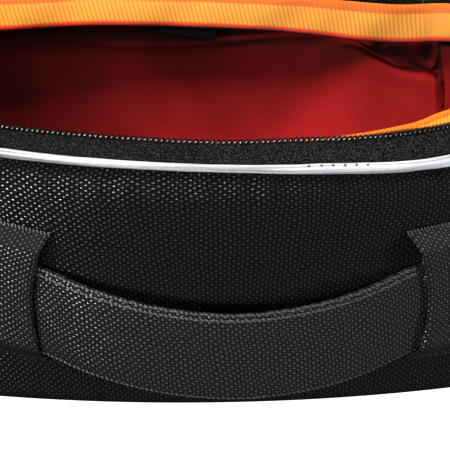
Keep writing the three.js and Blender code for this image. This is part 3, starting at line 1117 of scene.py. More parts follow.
# The handle is of the same nylon, painted lighter than the wall, standing in for the stronger light on the
# strap and its tabs
HANDLE_CLOTH = WovenNylon(along=1.38, pit_shade="#131312", under="#2a2a28", lit_yarn="#42423f")
# The edge yarns are painted lighter than the cloth: painted light on the folded edges
EDGE_THREAD = SewingThread("#4a4a47", "#2a2a28")


@dataclass
class Tub:
    """Wall of foam-backed nylon with its base."""

    stations: int = 720
    outer_rows: int = 44
    inner_rows: int = 12
    base_stations: int = 180
    # Gathers that the seam pulls into the top of the wall
    pucker: float = 0.5
    pucker_reach: float = 9.0
    gathers: Ripple = Ripple(3, 9, 24, 5)
    # Shallow dents of the foam-backed cloth
    dent: float = 0.45
    dents: Ripple = Ripple(5, 70, 150, 4, slant=0.7)

    def face(self, u: Array, rise: Array, inset: Array | float) -> Array:
        """Points of the wall, a distance inside its outer face."""
        seam = smooth_table(LEVELS, u)[0]
        return trace(wall_plan(rise), u).inside(inset, rise * seam)

    def hollows(self, u: Array, rise: Array) -> Array:
        """How far the outer face lies behind its smooth form.

        Args:
            u: Places round the rim.
            rise: Shares of the seam height.

        Returns:
            Distances in millimetres.
        """
        along = u * HALF_RIM
        height = rise * LEVELS[0].seam
        at_seam = hill(LEVELS[0].seam - height, 0, self.pucker_reach)
        gathers = self.pucker * at_seam * (1 + self.gathers.at(along))
        dents = self.dent * np.sin(np.pi * rise) * (1 + self.dents.at(along, height))
        return gathers + dents

    def wall(self) -> bpy.types.Object:
        """Builds the wall as one ring.

        Returns:
            The new piece.
        """
        u = all_round(self.stations)
        # Rows lie closer together at the foot and at the seam
        outer = 0.5 - 0.5 * np.cos(np.linspace(0, np.pi, self.outer_rows))[None, :]
        inner = np.linspace(1, 0, self.inner_rows)[None, :]
        faces = [self.face(u, outer, self.hollows(u, outer)), self.face(u, inner, WALL)]
        return loft("tub_wall", np.concatenate(faces, axis=1), ring=True)

    def base(self) -> bpy.types.Object:
        """Builds the flat base inside the foot of the wall.

        Returns:
            The new piece.
        """
        u = all_round(self.base_stations)[:, 0]
        outline = trace(wall_plan(np.array(0.0)), u)
        rings = [outline.inside(WALL + GAP, z) for z in (0.0, 0.5 * BASE, BASE)]
        return loft("tub_base", np.stack(rings), ring=False)

    def build(self) -> None:
        """Builds and dresses the tub."""
        nylon = WovenNylon()
        dress(self.wall(), nylon, Slot.NYLON, "wall_panel")
        dress(self.base(), nylon, Slot.NYLON, "base_panel")


class Fold(NamedTuple):
    """Fold that pushes the lining inwards: place, depth and half spans."""

    u: float
    rise: float
    depth: float
    span_u: float
    span_rise: float


@dataclass
class Lining:
    """Slack cup of red cloth inside the tub."""

    # Places round the rim, closer together over the folds at the back right
    fold_start: float = 0.66
    fold_end: float = 0.92
    fold_stations: int = 260
    plain_stations: int = 330
    rows: int = 110
    back_step: int = 10
    lowest: float = 0.037
    highest: float = 0.996
    least_corner: float = 12.0
    slack: tuple[KeyValue, ...] = (
        KeyValue(0.037, 31.5),
        KeyValue(0.065, 28.5),
        KeyValue(0.14, 23.0),
        KeyValue(0.27, 16.5),
        KeyValue(0.45, 10.0),
        KeyValue(0.66, 5.0),
        KeyValue(0.86, 2.2),
        KeyValue(0.92, 0.6),
        KeyValue(0.996, 0.35),
    )
    folds: tuple[Fold, ...] = (
        Fold(0.6, 0.55, 7.0, 0.06, 0.2),
        Fold(-0.3, 0.4, 6.0, 0.07, 0.2),
    )
    # How slack the cloth hangs round the rim: it is drawn taut against the wall at the back left
    ease: tuple[KeyValue, ...] = (
        KeyValue(-1.0, 1.15),
        KeyValue(-0.95, 0.95),
        KeyValue(-0.9, 0.6),
        KeyValue(-0.84, 0.22),
        KeyValue(-0.78, 0.06),
        KeyValue(-0.7, 0.1),
        KeyValue(-0.5, 0.5),
        KeyValue(-0.3, 1.0),
        KeyValue(0.6, 1.0),
        KeyValue(0.8, 1.2),
        KeyValue(0.9, 1.3),
        KeyValue(1.0, 1.15),
    )
    # Belly at the back right, by distance from the back centre: height of the lip that it hangs over
    belly_lip: tuple[KeyValue, ...] = (
        KeyValue(30.0, 85.0),
        KeyValue(54.5, 79.8),
        KeyValue(67.0, 76.3),
        KeyValue(73.0, 72.8),
        KeyValue(81.0, 68.5),
        KeyValue(87.0, 66.7),
        KeyValue(96.5, 65.4),
        KeyValue(110.0, 62.0),
    )
    belly_depth: float = 7.0
    # The belly swells by this share for each millimetre below its lip
    belly_swell: float = 0.025
    # It grows out of the base between these heights, and turns in over these distances below its lip
    belly_foot: Pair = (4.0, 30.0)
    belly_turn: Pair = (-3.0, 4.0)
    # Left flank of the belly, slanting: distance from the back centre by height
    flank: tuple[KeyValue, ...] = (
        KeyValue(40.0, 48.0),
        KeyValue(55.0, 53.0),
        KeyValue(68.0, 57.0),
        KeyValue(80.0, 60.0),
    )
    flank_half: float = 17.0
    # Cloth lifted at the lip and let down above it: how far, then distance below the lip and half span
    lip_rise: float = 2.0
    lip_rise_at: Pair = (3.0, 4.0)
    lip_drop: float = 3.5
    lip_drop_at: Pair = (-6.0, 5.0)
    # Upright gully between the belly and the bulge beside it: its middle by height
    gully: tuple[KeyValue, ...] = (
        KeyValue(40.0, 126.0),
        KeyValue(50.0, 119.0),
        KeyValue(55.0, 113.0),
        KeyValue(61.0, 108.0),
        KeyValue(66.0, 104.0),
        KeyValue(71.0, 102.0),
        KeyValue(80.0, 98.5),
    )
    gully_half: float = 6.0
    # Bulge beyond the gully: depth, heights of its foot and top, and its far end from the back centre
    side_bulge: float = 7.0
    bulge_foot: Pair = (20.0, 45.0)
    bulge_top: Pair = (74.0, 86.0)
    bulge_fade: Pair = (150.0, 190.0)
    # Crumpled cloth in the pocket above the lip: depth, ends from the back centre, and start above the lip
    crumple: float = 1.3
    pocket_start: Pair = (44.0, 58.0)
    pocket_end: Pair = (98.0, 108.0)
    pocket_foot: Pair = (1.0, 6.0)
    crumples: tuple[Ripple, ...] = (Ripple(41, 10, 26, 4, slant=1.2), Ripple(42, 9, 20, 4, slant=-0.8))
    # Fine wrinkles all round: depth, mean, and how soon they start at the cloth's edges
    crease: float = 0.12
    crease_mean: float = 1.4
    crease_power: float = 0.7
    wrinkles: tuple[Ripple, ...] = (Ripple(11, 26, 70, 5, slant=0.5), Ripple(12, 18, 50, 5, slant=-0.9))
    # Level tuck under the binding: depth, height, half span, and how far it wanders up and down
    tuck: float = 0.9
    tuck_height: float = 79.0
    tuck_half: float = 1.8
    tuck_wander: float = 1.5
    tuck_line: Ripple = Ripple(13, 60, 140, 3)
    # Share of the seam height from which the folds die out towards the sewn edge
    sewn_from: float = 0.95

    def belly(self, u: Array, height: Array) -> tuple[Array, Array]:
        """Shapes the belly at the back right.

        Args:
            u: Places round the rim.
            height: Heights of the cloth before it hangs over.

        Returns:
            How far the cloth is pushed inwards, and how far it is lifted.
        """
        from_back = (1 - u) * HALF_RIM
        below = smooth_table(self.belly_lip, from_back)[0] - height
        gully = smooth_table(self.gully, height)[0]
        flank = smooth_table(self.flank, height)[0]
        left = smooth_step(flank - self.flank_half, flank + self.flank_half, from_back)
        left = left * (1 - smooth_step(gully - self.gully_half, gully, from_back))
        right = smooth_step(gully, gully + self.gully_half, from_back)
        right = right * (1 - smooth_step(*self.bulge_fade, from_back))
        hang = (1 + self.belly_swell * np.maximum(below, 0)) * smooth_step(*self.belly_foot, height)
        pushed = self.belly_depth * left * smooth_step(*self.belly_turn, below) * hang
        upright = smooth_step(*self.bulge_foot, height) * (1 - smooth_step(*self.bulge_top, height))
        pushed = pushed + self.side_bulge * right * upright + self.crumpled(from_back, height, below)
        raised = self.lip_rise * hill(below, *self.lip_rise_at)
        dropped = self.lip_drop * hill(below, *self.lip_drop_at)
        return pushed, left * (raised - dropped)

    def crumpled(self, from_back: Array, height: Array, below: Array) -> Array:
        """How far the crumples above the belly's lip push the cloth inwards.

        Args:
            from_back: Distances from the back centre.
            height: Heights of the cloth.
            below: Distances below the lip.

        Returns:
            Distances in millimetres.
        """
        start = smooth_step(*self.pocket_start, from_back)
        end = smooth_step(*self.pocket_end, from_back)
        above = smooth_step(*self.pocket_foot, -below)
        rough = sum(ripple.at(from_back, height) for ripple in self.crumples)
        return self.crumple * start * (1 - end) * above * np.maximum(1 + rough, 0)

    def push(self, u: Array, rise: Array, height: Array) -> Array:
        """How far the folds and wrinkles push the cloth inwards.

        Args:
            u: Places round the rim.
            rise: Shares of the seam height.
            height: Heights of the cloth.

        Returns:
            Distances in millimetres.
        """
        pushed = sum(
            fold.depth * hill(u, fold.u, fold.span_u) * hill(rise, fold.rise, fold.span_rise)
            for fold in self.folds
        )
        along = u * HALF_RIM
        loose = np.sin(np.pi * np.clip(rise, 0, 1)) ** self.crease_power
        wrinkles = self.crease_mean + sum(ripple.at(along, height) for ripple in self.wrinkles)
        tuck_height = self.tuck_height + self.tuck_wander * self.tuck_line.at(along)
        tuck = self.tuck * hill(height, tuck_height, self.tuck_half)
        return pushed + self.crease * wrinkles * loose + tuck

    def places(self) -> Array:
        """Spreads places round the rim, starting and ending at the front centre.

        Returns:
            The places, as a row.
        """
        share = (self.fold_end - self.fold_start) / 2
        before = int(self.plain_stations * (self.fold_start + 1) / 2 / (1 - share))
        u = np.concatenate([
            np.linspace(-1, self.fold_start, before, endpoint=False),
            np.linspace(self.fold_start, self.fold_end, self.fold_stations, endpoint=False),
            np.linspace(self.fold_end, 1, self.plain_stations - before, endpoint=False),
        ])
        return np.roll(u, -np.searchsorted(u, 0))[None, :]

    def cup(self) -> bpy.types.Object:
        """Builds the cup as a wall of cloth with a fine inner and a coarse outer face.

        Returns:
            The new piece.
        """
        u = self.places()
        rise = np.linspace(self.lowest, self.highest, self.rows)[:, None]
        height = rise * smooth_table(LEVELS, u)[0]
        ease = smooth_table(self.ease, u)[0]
        hang = WALL + smooth_table(self.slack, rise)[0] * ease
        wall = wall_plan(rise)
        plan = Plan(
            wall.side - hang, wall.front - hang, wall.back - hang, wall.front_radius - hang,
            np.maximum(wall.front_corner - hang, self.least_corner),
            np.maximum(wall.back_corner - hang, self.least_corner),
        )
        sewn = 1 - smooth_step(self.sewn_from, self.highest, rise)
        belly_push, belly_lift = self.belly(u, height)
        inset = LINING + (self.push(u, rise, height) * ease + belly_push) * sewn
        inner = trace(plan, u).inside(inset, height + belly_lift * sewn)
        along = np.roll(inner, -1, axis=1) - np.roll(inner, 1, axis=1)
        outward = unit(np.cross(along, np.gradient(inner, axis=0)))
        outer = (inner + LINING * outward)[np.r_[0:self.rows - 1:self.back_step, self.rows - 1]]
        return loft("lining_cup", np.concatenate([outer, inner[::-1]]), ring=False)

    def build(self) -> None:
        """Builds and dresses the lining."""
        cup = dress(self.cup(), LiningTaffeta(), Slot.LINING, "lining")


def tooth_row(name: str, line: Array, upward: Array, sides: int, rings: int) -> bpy.types.Object:
    """Makes a row of coil teeth, each leaning a little along the zip.

    Args:
        name: Name of the piece.
        line: Middles of the teeth.
        upward: Direction in which they stand.
        sides: Faces round each tooth.
        rings: Rings of points between its poles.

    Returns:
        The new object.
    """
    axes = row_axes(line, upward, (TOOTH_HALF_LENGTH, COIL_RADIUS, COIL_RADIUS))
    axes[:, 2] += TOOTH_LEAN * axes[:, 0]
    return bead_row(name, round_bead(sides, rings, TOOTH_SQUARENESS), line, axes)


def rib_relief(along: Array) -> Array:
    """Relief of the grosgrain at distances along it, from -1 in its grooves to 0 on its ribs."""
    return np.abs(np.sin(np.pi * along / RIB_PITCH)) ** RIB_SQUARENESS - 1


def band_cloth(along: Array, path: Array) -> Array:
    """Cloth coordinates of a folded tape that runs round the rim.

    Args:
        along: Distance along the tape of each point.
        path: Distance round its section, back to the first point.

    Returns:
        Coordinates with one extra row and column, which close the ring and the section.
    """
    ring = np.concatenate([along, along[:1] + 2 * HALF_RIM])
    closed = np.concatenate([ring, ring[:, :1]], axis=1)
    return np.stack(np.broadcast_arrays(closed, path), axis=-1)


class Section(NamedTuple):
    """Folded tape's section: place up its faces, roundness of its edges and depth, each -1 to 1."""

    z: Array
    edge_z: Array
    depth: Array

    def heights(self, low: Array | float, high: Array | float) -> Array:
        """Heights of its points between the tape's lower and upper edge."""
        return (low + high) / 2 + self.z * (high - low - BINDING) / 2 + self.edge_z * BINDING / 2


# Points round each edge of the folded tape, and the usual half height of its flat faces
EDGE_ROWS = 5
HALF_FACE = 5.5


def band_section(face_rows: int) -> tuple[Section, Array]:
    """Makes the section of a folded tape with two flat faces and two round edges.

    Args:
        face_rows: Points up each face.

    Returns:
        The section, as rows, and the distance passed round it in millimetres.
    """
    edge_turns = np.linspace(0, np.pi, EDGE_ROWS + 2)[1:-1]
    up = np.linspace(-1, 1, face_rows)
    z = np.concatenate([up, np.ones(EDGE_ROWS), -up, -np.ones(EDGE_ROWS)])
    edge_z = np.concatenate([0 * up, np.sin(edge_turns), 0 * up, -np.sin(edge_turns)])
    depth = np.concatenate([-1 + 0 * up, -np.cos(edge_turns), 1 + 0 * up, np.cos(edge_turns)])
    steps = np.hypot(
        np.diff(z * HALF_FACE + edge_z * BINDING / 2, append=-HALF_FACE),
        np.diff(depth * BINDING / 2, append=-BINDING / 2),
    )
    path = np.concatenate([[0], np.cumsum(steps)])
    return Section(z[None, :], edge_z[None, :], depth[None, :]), path


@dataclass
class Seam:
    """Piping, zip and binding sewn along the rim of the tub."""

    stations: int = 720
    piping_sides: int = 28
    # Half height of the piping round the rim: least at the front centre, most at the front right
    piping_half_height: tuple[KeyValue, ...] = (
        KeyValue(-1.0, 1.7),
        KeyValue(-0.28, 1.7),
        KeyValue(-0.112, 1.5),
        KeyValue(0.0, 1.4),
        KeyValue(0.056, 1.65),
        KeyValue(0.093, 2.0),
        KeyValue(0.159, 2.0),
        KeyValue(0.233, 2.2),
        KeyValue(0.374, 1.9),
        KeyValue(1.0, 1.7),
    )
    piping_half_depth: float = 1.7
    piping_wave: float = 0.03
    piping_ripple: Ripple = Ripple(21, 14, 40, 4)
    tape_stations: int = 600
    tape_rows: int = 12
    tape_set_back: float = 0.1
    tape_wave: float = 0.2
    # Its slant is meant for shares of the tape's height
    tape_ripple: Ripple = Ripple(23, 20, 60, 4, slant=3.0)
    # The tape's edge ends between the teeth, this far below their middle
    tooth_overlap: float = 0.7
    # Needle stitches where the piping's seam shows at the front right: places, half sizes and turn round it
    stitch_places: tuple[float, ...] = (0.0715, 0.0825, 0.0929, 0.1036, 0.1139, 0.1242)
    stitch: Triple = (0.6, 0.3, 0.3)
    stitch_turn: float = math.radians(130)
    # How far they stand out of the piping, and up, as a share of its half height
    stitch_out: float = 0.05
    stitch_up: float = 1.03
    steps_per_rib: int = 6
    band_face_rows: int = 9
    band_slack: float = 0.35
    band_ripple: Ripple = Ripple(31, 22, 60, 5, slant=1.3)
    # Lean of the hanging band into the bag, as distance inwards per drop, and where it starts on each side
    band_lean: float = 0.35
    lean_start: Pair = (0.35, 0.62)
    # Lean of the ribs, as distance along per height
    rib_lean: tuple[KeyValue, ...] = (
        KeyValue(-1.0, -0.26),
        KeyValue(-0.74, -0.3),
        KeyValue(-0.4, -0.1),
        KeyValue(0.1, 0.0),
        KeyValue(0.74, 0.0),
        KeyValue(0.82, -0.1),
        KeyValue(0.9, -0.2),
        KeyValue(1.0, -0.26),
    )

    def piping(self) -> bpy.types.Object:
        """Builds the piping as a cord of oval section.

        Returns:
            The new piece.
        """
        u = all_round(self.stations)
        turn = np.linspace(0, 2 * np.pi, self.piping_sides, endpoint=False)[None, :]
        tall = smooth_table(self.piping_half_height, u)[0]
        seam = smooth_table(LEVELS, u)[0]
        ripple = 1 + self.piping_wave * self.piping_ripple.at(u * HALF_RIM)
        inset = PIPING_INSET + self.piping_half_depth * np.cos(turn) * ripple
        z = seam + GAP + tall * (1 + np.sin(turn) * ripple)
        return loft("reflective_cord", trace(RIM, u).inside(inset, z), ring=True)

    def tape(self) -> bpy.types.Object:
        """Builds the tub's half of the zip tape.

        Returns:
            The new piece.
        """
        u = along_zip(self.tape_stations)
        seam, coil = smooth_table(LEVELS, u)
        up = np.linspace(0, 1, self.tape_rows)[None, :]
        low, high = seam + GAP, coil - self.tooth_overlap
        z = low + (high - low) * up
        wave = self.tape_wave * self.tape_ripple.at(u * HALF_RIM, up) * np.sin(np.pi * up)
        line = trace(RIM, u)
        front = line.inside(TAPE_INSET + self.tape_set_back + wave, z)
        back = line.inside(TAPE_INSET + TAPE + wave, z)[:, ::-1]
        return loft("tape_of_tub_zip", np.concatenate([front, back], axis=1), ring=False)

    def teeth(self) -> bpy.types.Object:
        """Builds the row of coil teeth on the tape's edge.

        Returns:
            The new piece.
        """
        u = along_zip(TEETH)
        coil = smooth_table(LEVELS, u)[1]
        line = trace(RIM, u).inside(TAPE_INSET + TAPE / 2, coil)[:, 0]
        return tooth_row("teeth_of_tub_zip", line, UPRIGHT, sides=12, rings=7)

    def stitches(self) -> bpy.types.Object:
        """Builds the short dark stitches on the piping's upper edge.

        Returns:
            The new piece.
        """
        u = np.array(self.stitch_places)[:, None]
        tall = smooth_table(self.piping_half_height, u)[0]
        seam = smooth_table(LEVELS, u)[0]
        inset = PIPING_INSET + (self.piping_half_depth + self.stitch_out) * math.cos(self.stitch_turn)
        z = seam + GAP + tall * (1 + self.stitch_up * math.sin(self.stitch_turn))
        line = trace(RIM, u).inside(inset, z)[:, 0]
        return bead_row("needle_stitches", YARN_BEAD, line, row_axes(line, UPRIGHT, self.stitch))

    def droop(self, u: Array, below: Array) -> Array:
        """How far the band's hanging edge leans into the bag, by place and distance below its top."""
        return self.band_lean * smooth_step(*self.lean_start, np.abs(u)) * below

    def band(self) -> bpy.types.Object:
        """Builds the folded grosgrain binding with its crosswise ribs.

        Returns:
            The new piece.
        """
        u = all_round(RIBS * self.steps_per_rib)
        low, high, inset = smooth_table(BAND, u)
        section, path = band_section(self.band_face_rows)
        z = section.heights(low, high)
        deep = inset + (1 + section.depth) * BINDING / 2 + self.droop(u, high - z)
        lean = smooth_table(self.rib_lean, u)[0]
        along = (u + 1) * HALF_RIM + lean * (z - (low + high) / 2)
        rib = RIB_HEIGHT * rib_relief(along)
        slack = self.band_slack * self.band_ripple.at(u * HALF_RIM, z)
        points = trace(RIM, u).inside(deep + rib * section.depth + slack, z + rib * section.edge_z)
        return loft("grosgrain_band", points, ring=True, cloth=band_cloth(along, path))

    def build(self) -> None:
        """Builds and dresses the pieces on the rim."""
        dress(self.piping(), ReflectiveTape(), Slot.REFLECTIVE, "reflective_piping")
        dress(self.stitches(), SewingThread("#1c1c1b", "#0b0b0b"), Slot.ZIP_TAPE)
        dress(self.tape(), KnittedTape(), Slot.ZIP_TAPE, "zip_tape_body")
        dress(self.teeth(), CoilNylon(), Slot.COIL, "zip_coil_body")
        dress(self.band(), Grosgrain(), Slot.GROSGRAIN, "seam_binding")


class StrapRow(NamedTuple):
    """Middle line of the strap: place along the wall, height and distance off the wall."""

    along: float
    height: float
    standoff: float


@dataclass
class Strap:
    """Padded grab strap that bows out from the front wall."""

    width: float = 32.0
    thickness: float = 5.0
    # Power of the section's curve: a higher one is squarer
    squareness: float = 4.5
    stations: int = 260
    face_rows: int = 40
    # Lean of the cloth's upright yarns, as distance along per height
    yarn_slope: float = 0.12
    # How far the upper edge turns towards the wall where the strap bows out most
    tilt: float = 1.6
    # Thick yarns that show along the edges: pitch, half sizes and slant
    edge_pitch: float = 1.7
    edge_yarn: Triple = (0.95, 0.34, 0.34)
    edge_slant: float = 0.5
    # Shares of the half width at which their rows lie
    edge_rows: tuple[float, ...] = (0.985, 0.87, -0.985)
    line: tuple[StrapRow, ...] = (
        StrapRow(-90, 40.4, 2.85),
        StrapRow(-80, 39.8, 2.85),
        StrapRow(-66, 37.8, 3.6),
        StrapRow(-45, 32.7, 11.0),
        StrapRow(-22, 28.0, 15.2),
        StrapRow(3, 25.8, 16.5),
        StrapRow(25, 27.2, 15.0),
        StrapRow(45, 30.3, 11.0),
        StrapRow(69, 35.8, 3.6),
        StrapRow(82, 37.8, 2.85),
        StrapRow(93, 38.6, 2.85),
    )

    def middle(self, along: Array, across: Array) -> Array:
        """Points of the strap's middle layer.

        Args:
            along: Distance along the wall.
            across: Share of the half width, upwards.

        Returns:
            Points, with a last axis of three.
        """
        height, standoff = smooth_table(self.line, along)
        bow = smooth_step(self.line[0].standoff, max(row.standoff for row in self.line), standoff)
        return wall_point(along, height + across * self.width / 2, standoff - self.tilt * bow * across)

    def strap(self) -> bpy.types.Object:
        """Builds the strap with a full, soft-edged section.

        Returns:
            The new piece.
        """
        along = np.linspace(self.line[0].along, self.line[-1].along, self.stations)[:, None]
        turn = np.linspace(0, np.pi, self.face_rows)
        across = np.sign(-np.cos(turn)) * np.abs(np.cos(turn)) ** (2 / self.squareness)
        half = np.sin(turn) ** (2 / self.squareness)
        middle = self.middle(along, across[None, :])
        normal = unit(np.cross(np.gradient(middle, axis=0), np.gradient(middle, axis=1)))
        lift = normal * (half * self.thickness / 2)[None, :, None]
        points = np.concatenate([middle + lift, (middle - lift)[:, -2:0:-1]], axis=1)
        wrapped = np.concatenate([points, points[:, :1]], axis=1)
        level = np.broadcast_to(along, wrapped.shape[:2])
        cloth = np.stack([level + self.yarn_slope * wrapped[..., 2], wrapped[..., 2]], axis=-1)
        return loft("grab_strap", points, ring=False, cloth=cloth)

    def edge_yarns(self) -> bpy.types.Object:
        """Builds the rows of slanting yarns along the strap's edges.

        Returns:
            The new piece.
        """
        along = np.arange(self.line[2].along, self.line[-3].along, self.edge_pitch)[:, None]
        top, bottom = (self.middle(along, np.array([[share]]))[:, 0] for share in (1.0, -1.0))
        upward = top - bottom
        origins, axes = [], []
        for share in self.edge_rows:
            line = self.middle(along, np.array([[share]]))[:, 0]
            lift = self.thickness / 2 * (1 - abs(share) ** self.squareness) ** (1 / self.squareness)
            origins.append(line + row_axes(line, upward, (lift, lift, lift))[:, 1])
            axes.append(slanted_axes(line, upward, self.edge_yarn, self.edge_slant))
        return bead_row("strap_edge_yarns", YARN_BEAD, np.concatenate(origins), np.concatenate(axes))

    def build(self) -> None:
        """Builds and dresses the strap."""
        strap = dress(self.strap(), HANDLE_CLOTH, Slot.WEBBING, "handle_strap")
        dress(self.edge_yarns(), EDGE_THREAD, Slot.WEBBING)


@dataclass
class Tab:
    """Cloth tab that holds one end of the strap."""

    node: str
    side: Side
    inner: float
    low: float
    high: float
    rise: float
    # How far the inner edge draws back in the middle of its height
    waist: float
    thickness: float = 2.0
    length: float = 36.0
    steps: int = 50
    face_rows: int = 40
    # Lift off the wall over the strap, by distance from the inner edge
    lift: tuple[KeyValue, ...] = (
        KeyValue(0, 8.2),
        KeyValue(5, 7.2),
        KeyValue(12, 6.6),
        KeyValue(20, 6.2),
        KeyValue(30, 6.0),
        KeyValue(36, GAP),
    )
    # Share of the tab's half height from which its cloth slopes down to the wall
    crown: float = 0.74
    # Length over which the folded inner edge rounds off
    nose: float = 2.6
    # Limit of the rounding, which keeps the folded edge a little blunt
    blunt: float = 0.98
    # Power that sets the steps closer together at the folded edge
    step_power: float = 1.8
    # How far the folded edge turns in towards the strap
    tuck: float = 1.0
    # Yarns that show along the upper edge: pitch, half sizes and slant
    edge_pitch: float = 1.3
    edge_yarn: Triple = (0.3, 0.3, 1.1)
    edge_slant: float = 0.4

    @property
    def piece_name(self) -> str:
        """Name of the dressed tab."""
        return self.node.replace("handle", "strap")

    def over_strap(self, step: Array, across: Array) -> tuple[Array, Array, Array]:
        """Lays the tab's cloth over the strap.

        Args:
            step: Share of the way from the inner edge to the sewn end.
            across: Share of the half height, upwards.

        Returns:
            Distance along the wall, height, and lift off the wall.
        """
        waist = self.waist * (1 - across**2)
        out = waist + (self.length - waist) * step
        height = self.low + (self.high - self.low) * (across + 1) / 2 + self.rise * out
        share = 1 - smooth_step(self.crown, 1, np.abs(across))
        lift = GAP + (smooth_table(self.lift, out)[0] - GAP) * share
        return self.side.value * (self.inner + out), height, lift

    def tab(self) -> bpy.types.Object:
        """Builds the tab as a wall of cloth that rises over the strap.

        Returns:
            The new piece.
        """
        step = np.linspace(0, 1, self.steps)[:, None] ** self.step_power
        across = np.linspace(-1, 1, self.face_rows)[None, :]
        along, height, lift = self.over_strap(step, across)
        rounding = np.sqrt(1 - np.clip(1 - step * self.length / self.nose, 0, self.blunt) ** 2)
        middle = lift + self.thickness / 2 - self.tuck * (1 - rounding)
        under = wall_point(along, height, middle - rounding * self.thickness / 2)
        over = wall_point(along, height, middle + rounding * self.thickness / 2)[:, ::-1]
        return loft(self.piece_name, np.concatenate([under, over], axis=1), ring=False)

    def edge_yarns(self) -> bpy.types.Object:
        """Builds the row of slanting yarns along the tab's upper edge.

        Returns:
            The new piece.
        """
        step = np.linspace(0, 1, int(self.length / self.edge_pitch))[:, None]
        along, height, lift = self.over_strap(step, np.ones((1, 1)))
        line = wall_point(along, height, lift + self.thickness)[:, 0]
        axes = slanted_axes(line, UPRIGHT, self.edge_yarn, -self.side.value * self.edge_slant)
        return bead_row(self.piece_name + "_edge_yarns", YARN_BEAD, line, axes)

    def build(self) -> None:
        """Builds and dresses the tab."""
        dress(self.tab(), HANDLE_CLOTH, Slot.WEBBING, self.node)
        dress(self.edge_yarns(), EDGE_THREAD, Slot.WEBBING)


@dataclass
class Lid:
    """Domed lid that stands open on its cloth hinge. Its points are worked out shut and then turned."""

    seam: float = 112.4
    coil: float = 104.6
    band_low: float = 102.5
    band_high: float = 112.0
    open_angle: float = math.radians(95)
    hinge_y: float = RIM.back - TAPE_INSET - HINGE_STRIP / 2
    hinge_z: float = 102.0
    bend_radius: float = 6.0
    stations: int = 360
    # Outer faces: rise above the lid's seam and distance inside the rim
    gusset: tuple[KeyValue, ...] = (
        KeyValue(0.0, 2.0),
        KeyValue(5.0, 0.2),
        KeyValue(12.0, 0.6),
        KeyValue(17.0, 2.6),
    )
    gusset_rows: int = 16
    # Top panel: share of the way to its middle, and rise
    dome: tuple[KeyValue, ...] = (
        KeyValue(0.0, 17.35),
        KeyValue(0.05, 20.8),
        KeyValue(0.14, 22.8),
        KeyValue(0.4, 25.4),
        KeyValue(0.7, 26.9),
        KeyValue(1.0, 27.3),
    )
    dome_inset: float = 2.8
    # Rows from the panel's edge to its last small ring, closer together at the edge
    dome_rows: int = 44
    dome_power: float = 1.4
    dome_end: float = 0.999
    # Share of the way over which the panel grows to its full thickness
    dome_edge: float = 0.05
    tape_stations: int = 400
    tape_rows: int = 8
    steps_per_rib: int = 4
    band_face_rows: int = 5
    bend_steps: int = 12
    hinge_stations: int = 60
    # How far the hinge strip ends before the back corners
    hinge_clearance: float = 0.6

    def opened(self, points: Array) -> Array:
        """Turns points of the shut lid about the hinge.

        Args:
            points: Points, with a last axis of three.

        Returns:
            The turned points.
        """
        y, z = points[..., 1] - self.hinge_y, points[..., 2] - self.hinge_z
        cosine, sine = math.cos(self.open_angle), math.sin(self.open_angle)
        turned_y = self.hinge_y + cosine * y + sine * z
        turned_z = self.hinge_z - sine * y + cosine * z
        return np.stack([points[..., 0], turned_y, turned_z], axis=-1)

    def side_panel(self) -> bpy.types.Object:
        """Builds the gusset round the lid's edge.

        Returns:
            The new piece.
        """
        u = all_round(self.stations)
        rise = np.linspace(0, self.gusset[-1].key, self.gusset_rows)[None, :]
        inset = smooth_table(self.gusset, rise)[0]
        line = trace(RIM, u)
        outer = line.inside(inset, self.seam + rise)
        inner = line.inside(inset + WALL, self.seam + rise)[:, ::-1]
        return loft("lid_side_panel", self.opened(np.concatenate([outer, inner], axis=1)), ring=True)

    def top_panel(self) -> bpy.types.Object:
        """Builds the domed top panel.

        Returns:
            The new piece.
        """
        u = all_round(self.stations)[:, 0]
        share = np.linspace(0, self.dome_end, self.dome_rows)[:, None, None] ** self.dome_power
        rise = smooth_table(self.dome, share)[0]
        drop = WALL * smooth_step(0, self.dome_edge, share)
        line = trace(RIM, u)
        outer = line.inside(self.dome_inset, 0.0) * (1 - share) + UPRIGHT * (self.seam + rise)
        inner = line.inside(self.dome_inset + WALL, 0.0) * (1 - share) + UPRIGHT * (self.seam + rise - drop)
        shut = np.concatenate([outer[::-1], inner])
        # The weave runs straight over the panel, so its cloth coordinates are flat ones
        cloth = np.concatenate([shut, shut[:, :1]], axis=1)[..., :2]
        return loft("lid_top_panel", self.opened(shut), ring=False, cloth=cloth)

    def tape(self) -> bpy.types.Object:
        """Builds the lid's half of the zip tape.

        Returns:
            The new piece.
        """
        u = along_zip(self.tape_stations)
        z = np.linspace(self.coil + COIL_RADIUS + GAP, self.seam - GAP, self.tape_rows)[None, :]
        line = trace(RIM, u)
        faces = [line.inside(TAPE_INSET, z), line.inside(TAPE_INSET + TAPE, z[:, ::-1])]
        return loft("tape_of_lid_zip", self.opened(np.concatenate(faces, axis=1)), ring=False)

    def teeth(self) -> bpy.types.Object:
        """Builds the lid's row of coil teeth.

        Returns:
            The new piece.
        """
        u = along_zip(TEETH)
        line = self.opened(trace(RIM, u).inside(TAPE_INSET + TAPE / 2, self.coil)[:, 0])
        upward = np.array([0, math.sin(self.open_angle), math.cos(self.open_angle)])
        return tooth_row("teeth_of_lid_zip", line, upward, sides=10, rings=5)

    def binding(self) -> bpy.types.Object:
        """Builds the grosgrain binding inside the lid's seam.

        Returns:
            The new piece.
        """
        u = all_round(RIBS * self.steps_per_rib)
        section, path = band_section(self.band_face_rows)
        z = section.heights(self.band_low, self.band_high)
        along = (u + 1) * HALF_RIM + 0 * z
        rib = RIB_HEIGHT * rib_relief(along)
        inset = LID_BINDING_INSET + BINDING / 2 + section.depth * (BINDING / 2 + rib)
        points = trace(RIM, u).inside(inset, z + rib * section.edge_z)
        return loft("lid_grosgrain_band", self.opened(points), ring=True, cloth=band_cloth(along, path))

